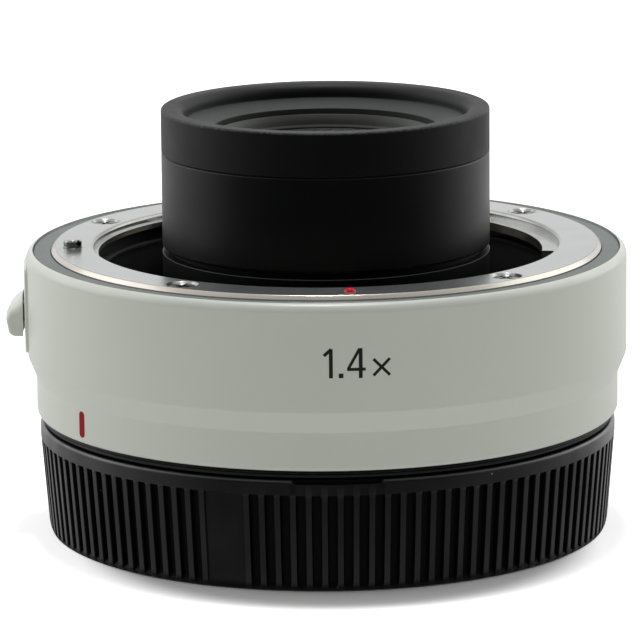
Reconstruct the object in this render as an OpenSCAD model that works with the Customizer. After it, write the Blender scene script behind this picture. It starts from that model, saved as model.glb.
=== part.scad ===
// Camera teleconverter on its rear cap: a short pale barrel between two bayonet mounts,
// a black lens tube that stands out of the front mount, and a ribbed cap on the rear mount.
// Origin: centre of the cap's underside. +Z runs up the optical axis, towards the front.
// Angles are in degrees round the axis, from the index dot at -Y, positive towards +X.

/* [Overall] */
// Length from the front flange face to the rear flange face
body_len = 20.3; // [19.5:0.1:23]
// Bore of the bayonet throat
throat_d = 54; // [51:0.5:58]
// Clear width between the lens tube and the throat
annulus_w = 7.6; // [6.8:0.1:8.4]
// Height of the lens tube above the front flange face
tube_rise = 16.2; // [15.4:0.2:20]
// Radial slip between fixed round pieces
seat_gap = 0.05; // [0.03:0.01:0.1]
// Radial running clearance of sliding pins
run_gap = 0.06; // [0.03:0.01:0.1]
// Clearance beside guided flat pieces
guide_gap = 0.2; // [0.15:0.05:0.3]

/* [Outer barrel] */
// Wall of the barrel
barrel_wall = 1.1; // [0.9:0.1:1.4]
// Width of the barrel's rim outside the trim ring's gap
rim_w = 0.8; // [0.6:0.1:1]
// Radius of the rounded front edge
rim_round = 1.1; // [0.8:0.1:1.5]
// Drop of the barrel's rim below the front flange face
rim_drop = 0.35; // [0.2:0.05:0.6]
// Height of the lower band
band_h = 4.5; // [3.5:0.1:5.5]
// Step in radius from the barrel to its lower band
band_step = 1; // [0.6:0.1:1.4]
// Height of the cone above the lower band
cone_h = 2.5; // [1.5:0.1:3.5]
// Radius of the rounded rear edge
foot_round = 0.5; // [0.3:0.1:0.8]
// Height of the barrel's rear edge above the rear flange face
barrel_lift = 0.5; // [0.4:0.05:0.8]
// Width of the painted index line
index_w = 1.1; // [0.8:0.1:1.5]
// Height of the painted index line
index_h = 3; // [2:0.1:3.5]
// Depth of the index line's inlay
index_depth = 0.3; // [0.2:0.05:0.5]
// Angle of the index line
index_angle = -60; // [-75:1:-45]

/* [Front mount] */
// Thickness of the front mount plate
mount_t = 1.5; // [1.3:0.1:2]
// Width of the front mount plate outside its mouth
mount_w = 5.1; // [4.8:0.1:5.6]
// Width of the plate's outer bevel
bevel_w = 0.8; // [0.4:0.1:1]
// Height of the plate's outer bevel
bevel_h = 0.6; // [0.3:0.1:0.8]
// Step in radius from the throat to the plate's mouth
throat_step = 0.5; // [0.3:0.1:0.7]
// Depth of the mouth, down to the lugs
lip_depth = 0.85; // [0.6:0.05:1]
// Reach of a bayonet lug into the throat
lug_reach = 1.4; // [1:0.1:1.6]
// Thickness of a bayonet lug
lug_t = 1.15; // [0.9:0.05:1.4]
// Angle that a bayonet lug covers
lug_span = 52; // [40:1:56]
// Width of the trim ring
trim_w = 2.05; // [1.8:0.05:2.3]
// Drop of the trim ring below the front flange face
trim_drop = 0.6; // [0.5:0.05:0.8]
// Dark gap between the trim ring and the barrel's rim
trim_gap = 0.1; // [0.05:0.05:0.2]
// Diameter of the lens index dot
dot_d = 1.4; // [1.2:0.1:1.6]
// Rise of the lens index dot above the front flange face
dot_rise = 0.45; // [0.3:0.05:0.6]
// Depth of the lens index dot
dot_depth = 0.4; // [0.3:0.05:0.6]

/* [Screws] */
// Thread diameter of the mount screws
screw_d = 1.7; // [1.4:0.1:2]
// Head diameter of the mount screws
screw_head_d = 3; // [2.6:0.1:3.2]
// Depth of a screw head below the mount's face
screw_sink = 0.2; // [0.1:0.05:0.3]
// Height of a screw's countersunk head
screw_head_h = 0.8; // [0.6:0.05:0.9]
// Length of a front mount screw
screw_len = 5; // [4.5:0.1:5.5]
// Angle of the front pair of screws, on each side of the index dot
near_screw_angle = 38; // [32:1:44]
// Angle of the back pair of screws, on each side of the index dot
far_screw_angle = 122; // [119:1:128]
// Wall of a screw boss round its thread
boss_wall = 0.45; // [0.3:0.05:0.5]
// Depth of a screw boss past the screw's end
boss_spare = 1; // [0.6:0.1:1.2]
// Width of a screw's cross recess
cross_w = 0.35; // [0.25:0.05:0.45]
// Depth of a screw's cross recess
cross_depth = 0.45; // [0.3:0.05:0.5]

/* [Lens tube] */
// Height of the front ring at the top of the tube
ring_h = 5.25; // [4.8:0.05:6]
// Width of the front ring's flat rim
ring_rim_w = 2.6; // [2.2:0.1:3]
// Wall of the tube's sleeve
sleeve_wall = 1.5; // [1.2:0.1:1.8]
// Width of the seam between the front ring and the sleeve
seam_w = 0.24; // [0.1:0.02:0.4]
// Drop of the tube's ledge below the front flange face
ledge_drop = 0.85; // [0.6:0.05:1.2]
// Height of the undercut above the ledge
undercut_h = 0.7; // [0.4:0.1:1]
// Depth of the undercut
undercut_d = 1; // [0.6:0.1:1.3]
// Wall of the chassis collar that carries the tube
collar_wall = 2.9; // [2.6:0.1:3.2]
// Radius of the tube's rounded foot
tube_foot_round = 0.3; // [0.2:0.05:0.5]
// Chamfer round the front ring's outer edge
ring_edge = 0.22; // [0.1:0.02:0.4]
// Width of the bevel inside the front ring's rim
ring_bevel_w = 0.9; // [0.6:0.1:1.1]
// Height of the bevel inside the front ring's rim
ring_bevel_h = 0.5; // [0.3:0.1:0.7]
// Lean of the wall below that bevel
ring_wall_w = 0.4; // [0.2:0.1:0.6]
// Height of the wall below that bevel
ring_wall_h = 0.7; // [0.5:0.1:0.9]
// Height of the sloping hood in front of the glass
hood_h = 1.2; // [1:0.1:1.4]
// Height of the bore below the hood
hood_bore_h = 1.1; // [0.9:0.1:1.3]
// Width of the lens cell's neck inside the front ring
cell_neck_w = 2; // [1.7:0.1:2.3]

/* [Optics] */
// Wall of the front lens cell
front_cell_wall = 4.6; // [4.2:0.1:5]
// Floor of the front lens cell under its glass
front_cell_floor = 1.5; // [1.2:0.1:1.8]
// Wall of the rear lens cell
rear_cell_wall = 2.2; // [1.9:0.1:2.5]
// Width of the seats and rings that hold the glass at its edge
seat_w = 1.2; // [1:0.1:1.5]
// Film between glass surfaces that lie on each other
film = 0.02; // [0.02:0.01:0.04]
// Centre thickness of the positive elements
crown_t = 4.4; // [4.2:0.1:4.8]
// Centre thickness of the negative elements
flint_t = 1.3; // [1:0.1:1.6]
// Centre thickness of the front element
first_t = 3.4; // [3.2:0.1:4]
// Height of the spacer ring behind the front element
spacer_h = 2; // [1.6:0.1:2.4]
// Centre thickness of the rear element
last_t = 3.4; // [3.2:0.1:3.8]
// Depth of the front keeper ring below the hood
keeper_drop = 0.5; // [0.3:0.1:0.7]
// Height of the middle keeper ring
keeper_h = 1.5; // [1.2:0.1:1.8]
// Height of the rear cell's rim above the middle keeper ring
cell_rim_h = 0.4; // [0.2:0.1:0.8]
// Reach of the rear cell behind the rear flange face
cell_reach = 1.2; // [1:0.1:1.4]
// Depth of the rear glass in the rear cell
glass_inset = 0.7; // [0.5:0.1:0.9]
// Thickness of the shelf between the rear cell's pairs
glass_shelf_t = 1; // [0.8:0.1:1.2]
// Width of the rear cell's foot outside its upper part
cell_foot_w = 1.1; // [0.9:0.1:1.3]
// Width of the rear cell's flange
cell_flange_w = 3.7; // [3.5:0.1:3.8]
// Thickness of the rear cell's flange
cell_flange_t = 1.6; // [1.3:0.1:1.7]
// Thread diameter of the cell screws
cell_screw_d = 1; // [0.8:0.1:1.2]
// Head diameter of the cell screws
cell_screw_head_d = 1.7; // [1.5:0.1:1.8]
// Head height of the cell screws
cell_screw_head_h = 0.7; // [0.5:0.1:0.9]
// Curvature of the first element's front face, in glass radii
bend_ratio_1_front = 5.3; // [5:0.1:6]
// Curvature of the first element's back face, in glass radii
bend_ratio_1_back = 9; // [8.5:0.1:10]
// Curvature of the second element's hollow face, in glass radii
bend_ratio_2_front = 4.5; // [4.2:0.1:5]
// Curvature between the second and third elements, in glass radii
bend_ratio_3_front = 4.2; // [4:0.1:4.6]
// Curvature of the third element's back face, in glass radii
bend_ratio_3_back = 6.8; // [6.4:0.1:7.2]
// Curvature of the fourth element's front face, in glass radii
bend_ratio_4_front = 4.2; // [4:0.1:4.6]
// Curvature between the fourth and fifth elements, in glass radii
bend_ratio_4_back = 5.6; // [5.2:0.1:6]
// Curvature of the fifth element's hollow face, in glass radii
bend_ratio_5_back = 3.5; // [3.3:0.1:3.9]
// Curvature of the sixth element's hollow face, in glass radii
bend_ratio_6_front = 3.5; // [3.3:0.1:3.9]
// Curvature between the sixth and seventh elements, in glass radii
bend_ratio_7_front = 5.6; // [5.2:0.1:6]
// Curvature of the seventh element's back face, in glass radii
bend_ratio_7_back = 7.7; // [7.2:0.1:8.2]

/* [Chassis] */
// Wall of the chassis
chassis_wall = 2; // [1.8:0.1:2.2]
// Thickness of the chassis flange under the front mount
flange_t = 2; // [1.6:0.1:2.4]
// Thickness of the chassis flange over the rear mount
base_t = 1.7; // [1.4:0.1:2]
// Height of the circuit board's bay
board_bay_h = 2.2; // [2:0.1:2.6]
// Thickness of the chassis web that carries the lens tube
web_t = 1.6; // [1.3:0.1:2]
// Wall and floor of the throat's light baffle
baffle_t = 0.6; // [0.5:0.05:0.8]
// Thickness of the bayonet's leaf spring ring
leaf_t = 0.3; // [0.2:0.05:0.4]
// Depth of the leaf spring ring below the front flange face
leaf_depth = 3.2; // [3:0.1:3.6]
// Angle of each gap between the spring's leaves
leaf_gap_span = 30; // [20:1:40]

/* [Lens lock] */
// Diameter of the lens lock pin
pin_d = 2.16; // [1.8:0.02:2.3]
// Height of the lock pin above the front flange face
pin_rise = 0.95; // [0.8:0.05:1.1]
// Travel of the release slider and the lock pin
lock_travel = 1.6; // [1.2:0.1:1.7]
// Angle of the release slider
slider_angle = -98; // [-99:0.5:-97]
// Width of the release slider
slider_w = 10; // [8:0.5:11]
// Height of the release slider
slider_h = 4.85; // [4.7:0.05:5]
// Radius of the slider's upper corners
slider_corner = 1.4; // [1:0.1:1.6]
// Reach of the release slider beyond its guide plate
slider_reach = 2.2; // [2:0.05:2.4]
// Radius of the slider's nose
nose_r = 0.65; // [0.5:0.05:0.8]
// Radius of the slider's finger ramp
ramp_r = 2.5; // [2.2:0.1:2.8]
// Distance of the finger ramp's centre beyond the slider's nose
ramp_out = 0.15; // [0.1:0.05:0.3]
// Height of the finger ramp's centre above the slider's foot
ramp_up = 6; // [5.8:0.05:6.2]
// Height of the slider's nose above its foot
nose_up = 2.5; // [2.3:0.05:2.7]
// Radius of the slider's toe
toe_r = 0.8; // [0.6:0.05:0.9]
// Inset of the slider's toe behind its nose
toe_inset = 0.35; // [0.25:0.05:0.45]
// Height of the slider's foot above the foot of its guide plate
slider_low = 1.75; // [1.7:0.05:2]
// Width of the guide plate
plate_w = 14; // [12.5:0.5:16]
// Distance from the guide plate to the barrel's rim
plate_rim_gap = 1.6; // [1.55:0.05:2.2]
// Distance from the guide plate to the barrel's cone
plate_foot_gap = 0.45; // [0.2:0.05:0.5]
// Radius of the guide plate's corners
plate_corner = 1; // [0.6:0.1:1.4]
// Height of the guide plate above the barrel
plate_proud = 0.3; // [0.2:0.05:0.4]
// Depth of the guide plate's seat in the barrel
plate_sunk = 0.6; // [0.5:0.05:0.7]
// Gap above the guide plate
plate_gap = 0.4; // [0.3:0.05:0.45]
// Width of the slider's stem
stem_w = 5; // [4.4:0.1:5.4]
// Height of the slider's stem
stem_h = 2; // [1.7:0.1:2.1]
// Height of the stem above the slider's foot
stem_low = 1.5; // [1.4:0.1:1.6]
// Inset of the stem's tongue from each side of the stem
tongue_inset = 0.5; // [0.3:0.1:0.7]
// Floor under the tongue in the slide plate
tongue_skin = 0.4; // [0.3:0.05:0.5]
// Distance of the tongue's end from the slide plate's inner edge
tongue_stop = 1; // [0.7:0.1:1.3]
// Thickness of the lock's slide plate
slide_t = 1.6; // [1.3:0.1:1.7]
// Diameter of the lock's guide post
post_d = 1.2; // [1:0.1:1.4]
// Angle from the slider to the guide post
post_turn_angle = 10; // [9:0.5:11]
// Angle that the slide plate covers beyond the lock pin
slide_near_span = 6; // [5:0.5:7]
// Angle that the slide plate covers beyond the slider
slide_far_span = 15; // [14:0.5:16]
// Diameter of the lock pin's stub in its spring
stub_d = 1.4; // [1.2:0.05:1.5]
// Length of the lock pin's stub
stub_h = 1.4; // [1:0.1:1.6]
// Wire of the lock spring
lock_wire = 0.32; // [0.24:0.02:0.36]
// Mean coil diameter of the lock spring
lock_coil_d = 2.2; // [2.1:0.05:2.3]

/* [Contacts] */
// Number of contacts
contact_count = 12; // [8:1:12]
// Angle between neighbouring contacts
contact_step_angle = 6; // [5.5:0.1:6.2]
// Angle of the contact block beyond its last contact
block_end_angle = 5; // [4:0.5:6]
// Gap between the lens tube and the contact block
block_gap = 2; // [1.6:0.1:2.4]
// Diameter of a contact pin's tip
contact_d = 0.9; // [0.7:0.05:1]
// Height of a contact pin above its block
contact_rise = 0.8; // [0.7:0.05:1]
// Travel of the contact pins
contact_travel = 0.5; // [0.3:0.05:0.6]
// Length of the bore that guides a contact pin's tip
contact_neck_h = 1.2; // [1:0.1:1.4]
// Width of a contact pin's collar
contact_collar = 0.25; // [0.2:0.05:0.3]
// Height of a contact pin's collar
contact_head_h = 0.7; // [0.5:0.1:0.9]
// Wall of the tube that stands for a contact spring
spring_wall = 0.15; // [0.1:0.05:0.2]
// Floor of the contact block under its springs
spring_floor = 2; // [1.6:0.1:2.4]
// Depth of the contact block's face below the front flange face
contact_depth = 4.7; // [4.4:0.1:5.2]
// Thickness of the circuit board
board_t = 0.8; // [0.6:0.1:1]
// Height of the chips on the board
chip_h = 0.9; // [0.6:0.1:1]
// Width of the flex cable
flex_w = 8; // [6:0.5:10]
// Thickness of the flex cable
flex_t = 0.2; // [0.1:0.05:0.3]
// Distance of the flex cable inside the rear mount's spigot
flex_inset = 1.2; // [1:0.1:1.4]
// Clearance round the flex cable
flex_gap = 0.5; // [0.3:0.1:0.7]
// Gap between the rear cell and the circuit board
board_gap = 1; // [0.8:0.1:1.2]
// Angle that the circuit board covers
board_span = 240; // [220:5:260]
// Width of a chip
chip_w = 3.4; // [2.6:0.2:4]
// Length of a chip
chip_l = 4.2; // [3.4:0.2:5]

/* [Rear mount] */
// Thickness of the rear mount's flange
rear_t = 1.5; // [1.3:0.1:1.8]
// Inset of the rear mount's edge from the front mount's edge
rear_inset = 0.2; // [0.1:0.05:0.4]
// Length of the rear mount's spigot
spigot_len = 4.6; // [4.4:0.1:5]
// Wall of the rear mount's spigot
spigot_wall = 1.7; // [1.5:0.1:1.9]
// Reach of a bayonet tab beyond the spigot
tab_reach = 1.6; // [1.4:0.1:1.7]
// Thickness of a bayonet tab
tab_t = 1.4; // [1.2:0.1:1.5]
// Distance from the rear flange face to a bayonet tab
tab_gap = 2.8; // [2.7:0.05:2.9]
// Angle that a bayonet tab covers
tab_span = 44; // [36:1:46]
// Radial slip of the tabs in a throat of the same size
tab_slip = 0.1; // [0.05:0.05:0.2]
// Gap between the rear cell's flange and the rear contact ring
rear_block_gap = 0.2; // [0.15:0.05:0.3]
// Thickness of the rear contact ring
rear_block_t = 2; // [1.8:0.1:2.2]
// Depth of the rear contacts behind the rear contact ring
pad_drop = 0.5; // [0.3:0.1:0.7]
// Width of a rear contact
pad_w = 1.5; // [1.2:0.1:1.7]
// Length of a rear contact
pad_l = 1.8; // [1.4:0.1:2]
// Thickness of a rear contact
pad_t = 0.3; // [0.2:0.05:0.4]
// Thickness of the rear baffle
rear_baffle_t = 0.8; // [0.6:0.1:1]
// Inset of the rear trim ring from the barrel's lower band
trim_inset = 0.45; // [0.3:0.05:0.6]
// Slip between the rear mount and the rear trim ring
trim_slip = 0.1; // [0.05:0.05:0.15]
// Inset of the seal from the edges that it covers
seal_inset = 0.15; // [0.1:0.05:0.2]
// Gap between the seal and the rear trim ring
seal_gap = 0.05; // [0.03:0.01:0.08]
// Height of the rear trim ring below the barrel
rear_trim_h = 0.35; // [0.3:0.05:0.4]
// Height of the rubber seal
seal_h = 0.45; // [0.35:0.05:0.5]
// Width of the image window in the rear baffle
window_w = 25; // [22:0.5:26]
// Height of the image window in the rear baffle
window_h = 17; // [15:0.5:18]

/* [Rear cap] */
// Height of the cap
cap_h = 13.2; // [12.8:0.1:15]
// Gap between the cap's rim and the rear flange face
cap_gap = 0.6; // [0.55:0.05:0.8]
// Inset of the cap's rim from the barrel's lower band
cap_inset = 0.35; // [0.2:0.05:0.5]
// Narrowing of the cap's radius from its rim to its base
cap_taper = 0.9; // [0.5:0.1:1.3]
// Height of the smooth rim above the ribs
cap_rim_h = 1.8; // [1.4:0.1:2.4]
// Width of the chamfer round the cap's edges
cap_edge = 0.4; // [0.2:0.05:0.6]
// Number of grip ribs
rib_count = 119; // [100:1:130]
// Width of a grip rib
rib_w = 0.8; // [0.6:0.05:0.9]
// Height of a grip rib
rib_h = 0.6; // [0.4:0.05:0.7]
// Turn of the grip ribs round the cap
rib_turn = 1.1; // [0:0.1:3]
// Wall of the cap under its ribs
cap_wall = 1.3; // [1:0.1:1.6]
// Floor of the cap
cap_floor = 1.8; // [1.5:0.1:2.4]
// Depth of the ring groove under the cap
cap_groove = 0.4; // [0.2:0.1:0.6]
// Wall of the cap's bayonet socket
socket_wall = 1.4; // [1.1:0.1:1.7]
// Clearance round the bayonet tabs in the cap
socket_gap = 0.5; // [0.4:0.05:0.6]
// Thickness of a cap lug
cap_lug_t = 1.5; // [1.2:0.1:1.6]
// Angle that a cap lug covers
cap_lug_span = 28; // [20:1:30]
// Angle between a cap lug and the tab that it turns under, when the cap is free
cap_free_angle = 4; // [3:0.5:6]
// Gap between a cap lug and the spigot
cap_lug_gap = 0.3; // [0.2:0.05:0.4]
// Drop of a cap lug below the socket's edge
cap_lug_drop = 0.1; // [0.05:0.05:0.15]
// Drop of the socket's edge below the cap's rim
socket_drop = 0.3; // [0.2:0.1:0.5]
// Width of the ring groove under the cap
groove_w = 2; // [1:0.5:4]
// Angle of the smooth patch between the cap's ribs
patch_angle = -25.4; // [-40:0.1:-10]
// Width of the smooth patch
patch_w = 4.7; // [3:0.1:6]
// Sink of the smooth patch below the ribs
patch_sink = 0.2; // [0.1:0.05:0.3]
// Angle of the notch in the cap's rim
notch_angle = -3; // [-20:0.5:10]
// Angle that the notch spans
notch_span = 17; // [10:0.5:24]
// Width of the notch in from the rim
notch_w = 0.5; // [0.3:0.05:0.7]
// Depth of the notch below the rim's top
notch_h = 0.45; // [0.3:0.05:0.6]

/* [Hidden] */
$fn = 96;
// Steps round the large circles of the glass faces
glass_fn = 1440;
// Overlap of shapes that are joined or cut
eps = 0.2;
// Reach of cutting blocks past the object
far = 60;

// Heights up the axis
z_rear = cap_h + cap_gap;
z_front = z_rear + body_len;
z_seat = z_front - mount_t;
z_flange = z_seat - flange_t;
z_base = z_rear + rear_t;
z_shelf = z_base + base_t;
z_web_low = z_shelf + board_bay_h;
z_web = z_web_low + web_t;
z_floor = z_web + baffle_t;
z_ledge = z_front - ledge_drop;
z_neck = z_ledge + undercut_h;
z_top = z_front + tube_rise;
z_seam = z_top - ring_h;
z_foot = z_rear + barrel_lift;
z_band = z_foot + band_h;
z_cone = z_band + cone_h;
z_rim = z_front - rim_drop;
z_leaf = z_front - leaf_depth;

// Radii from the throat outwards
throat_r = throat_d / 2;
mouth_r = throat_r + throat_step;
mount_r = mouth_r + mount_w;
trim_in_r = mount_r + seat_gap;
trim_r = trim_in_r + trim_w;
rim_r = trim_r + trim_gap;
barrel_r = rim_r + rim_w;
barrel_in_r = barrel_r - barrel_wall;
flange_r = barrel_in_r - seat_gap;
low_r = barrel_r - band_step;
low_in_r = low_r - barrel_wall;
chassis_r = low_in_r - seat_gap;
cavity_r = chassis_r - chassis_wall;
baffle_in_r = throat_r + seat_gap;
baffle_r = baffle_in_r + baffle_t;
flange_bore_r = baffle_r + seat_gap;
face_r = (mouth_r + mount_r) / 2;
base_bore_r = throat_r - lug_reach / 3;
lug_r = throat_r - lug_reach;
lug_angles = [105, -20, -163];
leaf_gap_angles = [42, -72, 172];

// Radii from the lens tube inwards
tube_r = throat_r - annulus_w;
neck_r = tube_r - undercut_d;
collar_bore_r = tube_r - collar_wall;
sleeve_in_r = tube_r - sleeve_wall;
front_cell_r = sleeve_in_r - seat_gap;
front_bore_r = front_cell_r - front_cell_wall;
front_glass_r = front_bore_r - seat_gap;
front_seat_r = front_glass_r - seat_w;
rear_cell_r = collar_bore_r - seat_gap;
rear_bore_r = rear_cell_r - rear_cell_wall;
rear_glass_r = rear_bore_r - seat_gap;
rear_seat_r = rear_glass_r - seat_w;

// Mouth of the front ring: rim, bevel, wall, sloping hood and bore
ring_rim_r = tube_r - ring_rim_w;
ring_wall_r = ring_rim_r - ring_bevel_w;
hood_r = ring_wall_r - ring_wall_w;
hood_bore_r = front_bore_r + seat_gap;
z_hood_top = z_top - ring_bevel_h - ring_wall_h;
z_hood = z_hood_top - hood_h;
z_ring_step = z_hood - hood_bore_h;
ring_socket_r = front_bore_r + cell_neck_w;

// Curvature radii of the glass, positive where a face bulges outwards
c1_front = bend_ratio_1_front * front_glass_r;
c1_back = bend_ratio_1_back * front_glass_r;
c2_front = -bend_ratio_2_front * front_glass_r;
c3_front = bend_ratio_3_front * front_glass_r;
c3_back = bend_ratio_3_back * front_glass_r;
c4_front = bend_ratio_4_front * rear_glass_r;
c4_back = bend_ratio_4_back * rear_glass_r;
c5_back = -bend_ratio_5_back * rear_glass_r;
c6_front = -bend_ratio_6_front * rear_glass_r;
c7_front = bend_ratio_7_front * rear_glass_r;
c7_back = bend_ratio_7_back * rear_glass_r;

// Height of a spherical face between its middle and the radius r
function sag(r, c) = abs(c) - sqrt(c * c - r * r);

// Front group, stacked up from the chassis collar
z_front_seat = z_neck + front_cell_floor;
z3_back = z_front_seat + film - sag(front_seat_r, c3_back);
z3_front = z3_back + crown_t;
z2_back = z3_front + film;
z2_front = z2_back + flint_t;
z_spacer = z2_front + sag(front_glass_r, c2_front) + film;
z1_back = z_spacer + spacer_h + film - sag(front_seat_r, c1_back);
z1_front = z1_back + first_t;
z_front_keeper = z1_front - sag(front_seat_r, c1_front) + film;

// Rear group, stacked up from the rear of the rear cell
z_cell = z_rear - cell_reach;
z7_back = z_cell + glass_inset;
z7_front = z7_back + last_t;
z_rear_keeper = z7_back + sag(rear_seat_r, c7_back) - film;
z6_back = z7_front + film;
z6_front = z6_back + flint_t;
z_glass_shelf = z6_front + sag(rear_glass_r, c6_front) + film;
z5_back = z_glass_shelf + glass_shelf_t + film + sag(rear_glass_r, c5_back);
z5_front = z5_back + flint_t;
z4_back = z5_front + film;
z4_front = z4_back + crown_t;
z_mid_keeper = z4_front - sag(rear_seat_r, c4_front) + film;
z_cell_top = z_mid_keeper + keeper_h + cell_rim_h;
cell_low_r = rear_cell_r + cell_foot_w;
cell_flange_r = rear_cell_r + cell_flange_w;
cell_screw_r = (cell_low_r + cell_flange_r) / 2;
cell_screw_count = 3;

// Screw places
screw_r = screw_d / 2;
boss_r = screw_r + boss_wall;
boss_h = screw_len + screw_sink - mount_t - flange_t + boss_spare;
front_screw_angles = [-far_screw_angle, -near_screw_angle, near_screw_angle, far_screw_angle];
rear_screw_angles = [45, 135, 225, 315];
rear_screw_r = (base_bore_r + cavity_r) / 2;
rear_screw_len = rear_t + base_t + board_bay_h / 2;

// Lens lock
pin_r = pin_d / 2;
lock_angle = -90;
plate_in_r = barrel_r - plate_sunk;
plate_out_r = barrel_r + plate_proud;
z_plate = z_cone + plate_foot_gap;
plate_h = z_rim - plate_rim_gap - z_plate;
z_slider = z_plate + slider_low;
slider_in_r = plate_out_r + guide_gap;
slider_out_r = plate_out_r + slider_reach;
dot_dome_r = (pow(dot_d / 2, 2) + pow(dot_rise, 2)) / (2 * dot_rise);
z_stem = z_slider + stem_low;
z_slide = z_stem + (stem_h - slide_t) / 2;
slide_low_r = flange_bore_r + guide_gap;
slide_high_r = cavity_r - guide_gap;
slide_near_angle = lock_angle + slide_near_span;
slide_far_angle = slider_angle - slide_far_span;
post_angle = slider_angle - post_turn_angle;
post_r = post_d / 2;
tongue_w = stem_w - 2 * tongue_inset;
tongue_r = slide_low_r + tongue_stop;
stem_end_r = cavity_r + guide_gap;
slot_low = z_stem - lock_travel - guide_gap;
slot_h = stem_h + lock_travel + 2 * guide_gap;

// Rear mount
rear_r = mount_r - rear_inset;
tab_r = throat_r - tab_slip;
spigot_r = tab_r - tab_reach;
spigot_in_r = spigot_r - spigot_wall;
z_spigot = z_rear - spigot_len;
z_tab = z_rear - tab_gap - tab_t;
tab_count = 3;
tab_turn = 360 / tab_count;
rear_block_in_r = cell_flange_r + rear_block_gap;
rear_block_r = spigot_in_r - seat_gap;
z_rear_block = z_cell - rear_block_t;
pad_mid_r = (rear_block_in_r + rear_block_r) / 2;
z_pad = z_rear_block - pad_drop;
rear_baffle_r = rear_block_in_r - seat_gap;
trim_edge_r = low_r - trim_inset;
trim_seat_r = rear_r + trim_slip;
seal_in_r = rear_r + seal_inset;
seal_r = trim_edge_r - seal_inset;
z_trim = z_foot - rear_trim_h;
z_seal = z_trim - seal_gap - seal_h;

// Contacts
block_in_r = tube_r + block_gap;
block_r = lug_r - guide_gap;
block_span = (contact_count - 1) * contact_step_angle + 2 * block_end_angle;
contact_angle = 180;
contact_mid_r = (block_in_r + block_r) / 2;
contact_r = contact_d / 2;
z_block = z_front - contact_depth;
contact_head_r = contact_r + contact_collar;
contact_bore_r = contact_head_r + run_gap;
spring_r = contact_head_r - run_gap;
z_contact_head = z_block - contact_neck_h - guide_gap / 2 - contact_head_h;
z_spring = z_floor + spring_floor;
flex_r = spigot_in_r - flex_inset;
board_in_r = cell_flange_r + board_gap;
board_r = rear_screw_r - boss_r - 2 * seat_gap;
chip_mid_r = (board_in_r + board_r) / 2;
chip_angles = [90, 118, 145, 215, 250];

// Cap
cap_r = low_r - cap_inset;
cap_low_r = cap_r - cap_taper;
z_rib = cap_h - cap_rim_h;
cap_in_r = cap_low_r - rib_h - cap_wall;
socket_r = tab_r + socket_gap;
socket_out_r = socket_r + socket_wall;
z_socket = cap_h - socket_drop;
cap_lug_r = spigot_r + cap_lug_gap;
z_cap_lug = z_socket - cap_lug_drop - cap_lug_t;
cap_lug_angle = index_angle - (tab_span + cap_lug_span) / 2 - cap_free_angle;
groove_in_r = socket_r - groove_w;

// Turns a shape to an angle and moves it out to a radius
module around(angle, r = 0) {
    rotate([0, 0, angle - 90])
        translate([r, 0, 0])
            children();
}

// Ring of square section
module ring(r_in, r_out, z_low, z_high) {
    rotate_extrude()
        translate([r_in, z_low])
            square([r_out - r_in, z_high - z_low]);
}

// Part of such a ring, centred on an angle
module ring_part(r_in, r_out, z_low, z_high, angle, span) {
    rotate([0, 0, angle - 90 - span / 2])
        rotate_extrude(angle = span)
            translate([r_in, z_low])
                square([r_out - r_in, z_high - z_low]);
}

// Upright cylinder between two heights
module post(r, z_low, z_high) {
    translate([0, 0, z_low])
        cylinder(r = r, h = z_high - z_low);
}

// Rectangle with round corners, centred sideways and standing on zero
module rounded_panel(w, h, r) {
    translate([-w / 2 + r, 0])
        square([w - 2 * r, h]);
    translate([-w / 2, r])
        square([w, h - 2 * r]);
    for (x = [-1, 1])
        for (y = [r, h - r])
            translate([x * (w / 2 - r), y])
                circle(r);
}

// Panel stood up across the radial direction, from r_in to r_out
module upright_panel(w, h, corner, r_in, r_out, z_low) {
    translate([r_in, 0, z_low])
        rotate([90, 0, 90])
            linear_extrude(r_out - r_in)
                rounded_panel(w, h, corner);
}

// Countersunk screw, head up, with its head's top at zero
module countersunk_screw(length) {
    difference() {
        union() {
            translate([0, 0, -screw_head_h])
                cylinder(r1 = screw_r, r2 = screw_head_d / 2, h = screw_head_h);
            post(screw_r, -length, -screw_head_h + eps);
        }
        for (turn = [0, 90])
            rotate([0, 0, turn])
                translate([-screw_head_d / 3, -cross_w / 2, -cross_depth])
                    cube([screw_head_d * 2 / 3, cross_w, 1]);
    }
}

// Hole for such a screw
module countersink(length) {
    head_r = screw_head_d / 2 + seat_gap;
    hole_r = screw_r + seat_gap;
    translate([0, 0, -screw_head_h])
        cylinder(r1 = hole_r, r2 = head_r, h = screw_head_h);
    post(head_r, -eps / 20, screw_sink + eps);
    post(hole_r, -length - eps, 0);
}

// Glass element between a front and a back vertex, with spherical faces
module glass(r, z_f, c_f, z_b, c_b) {
    edge_f = c_f > 0 ? 0 : sag(r, c_f);
    edge_b = c_b > 0 ? 0 : sag(r, c_b);
    rotate_extrude()
        difference() {
            translate([0, z_b - edge_b])
                square([r, z_f + edge_f - z_b + edge_b]);
            glass_cut(r, c_f, z_f, 1);
            glass_cut(r, c_b, z_b, -1);
        }
}

// What a spherical face takes off a glass blank, upwards or downwards from its vertex
module glass_cut(r, c, z, way) {
    depth = sag(r, c) + eps;
    if (c > 0)
        difference() {
            translate([-eps, z - (way > 0 ? depth : eps)])
                square([r + 2 * eps, depth + eps]);
            translate([0, z - way * c])
                circle(c, $fn = glass_fn);
        }
    if (c < 0)
        translate([0, z - way * c])
            circle(-c, $fn = glass_fn);
}

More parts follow.
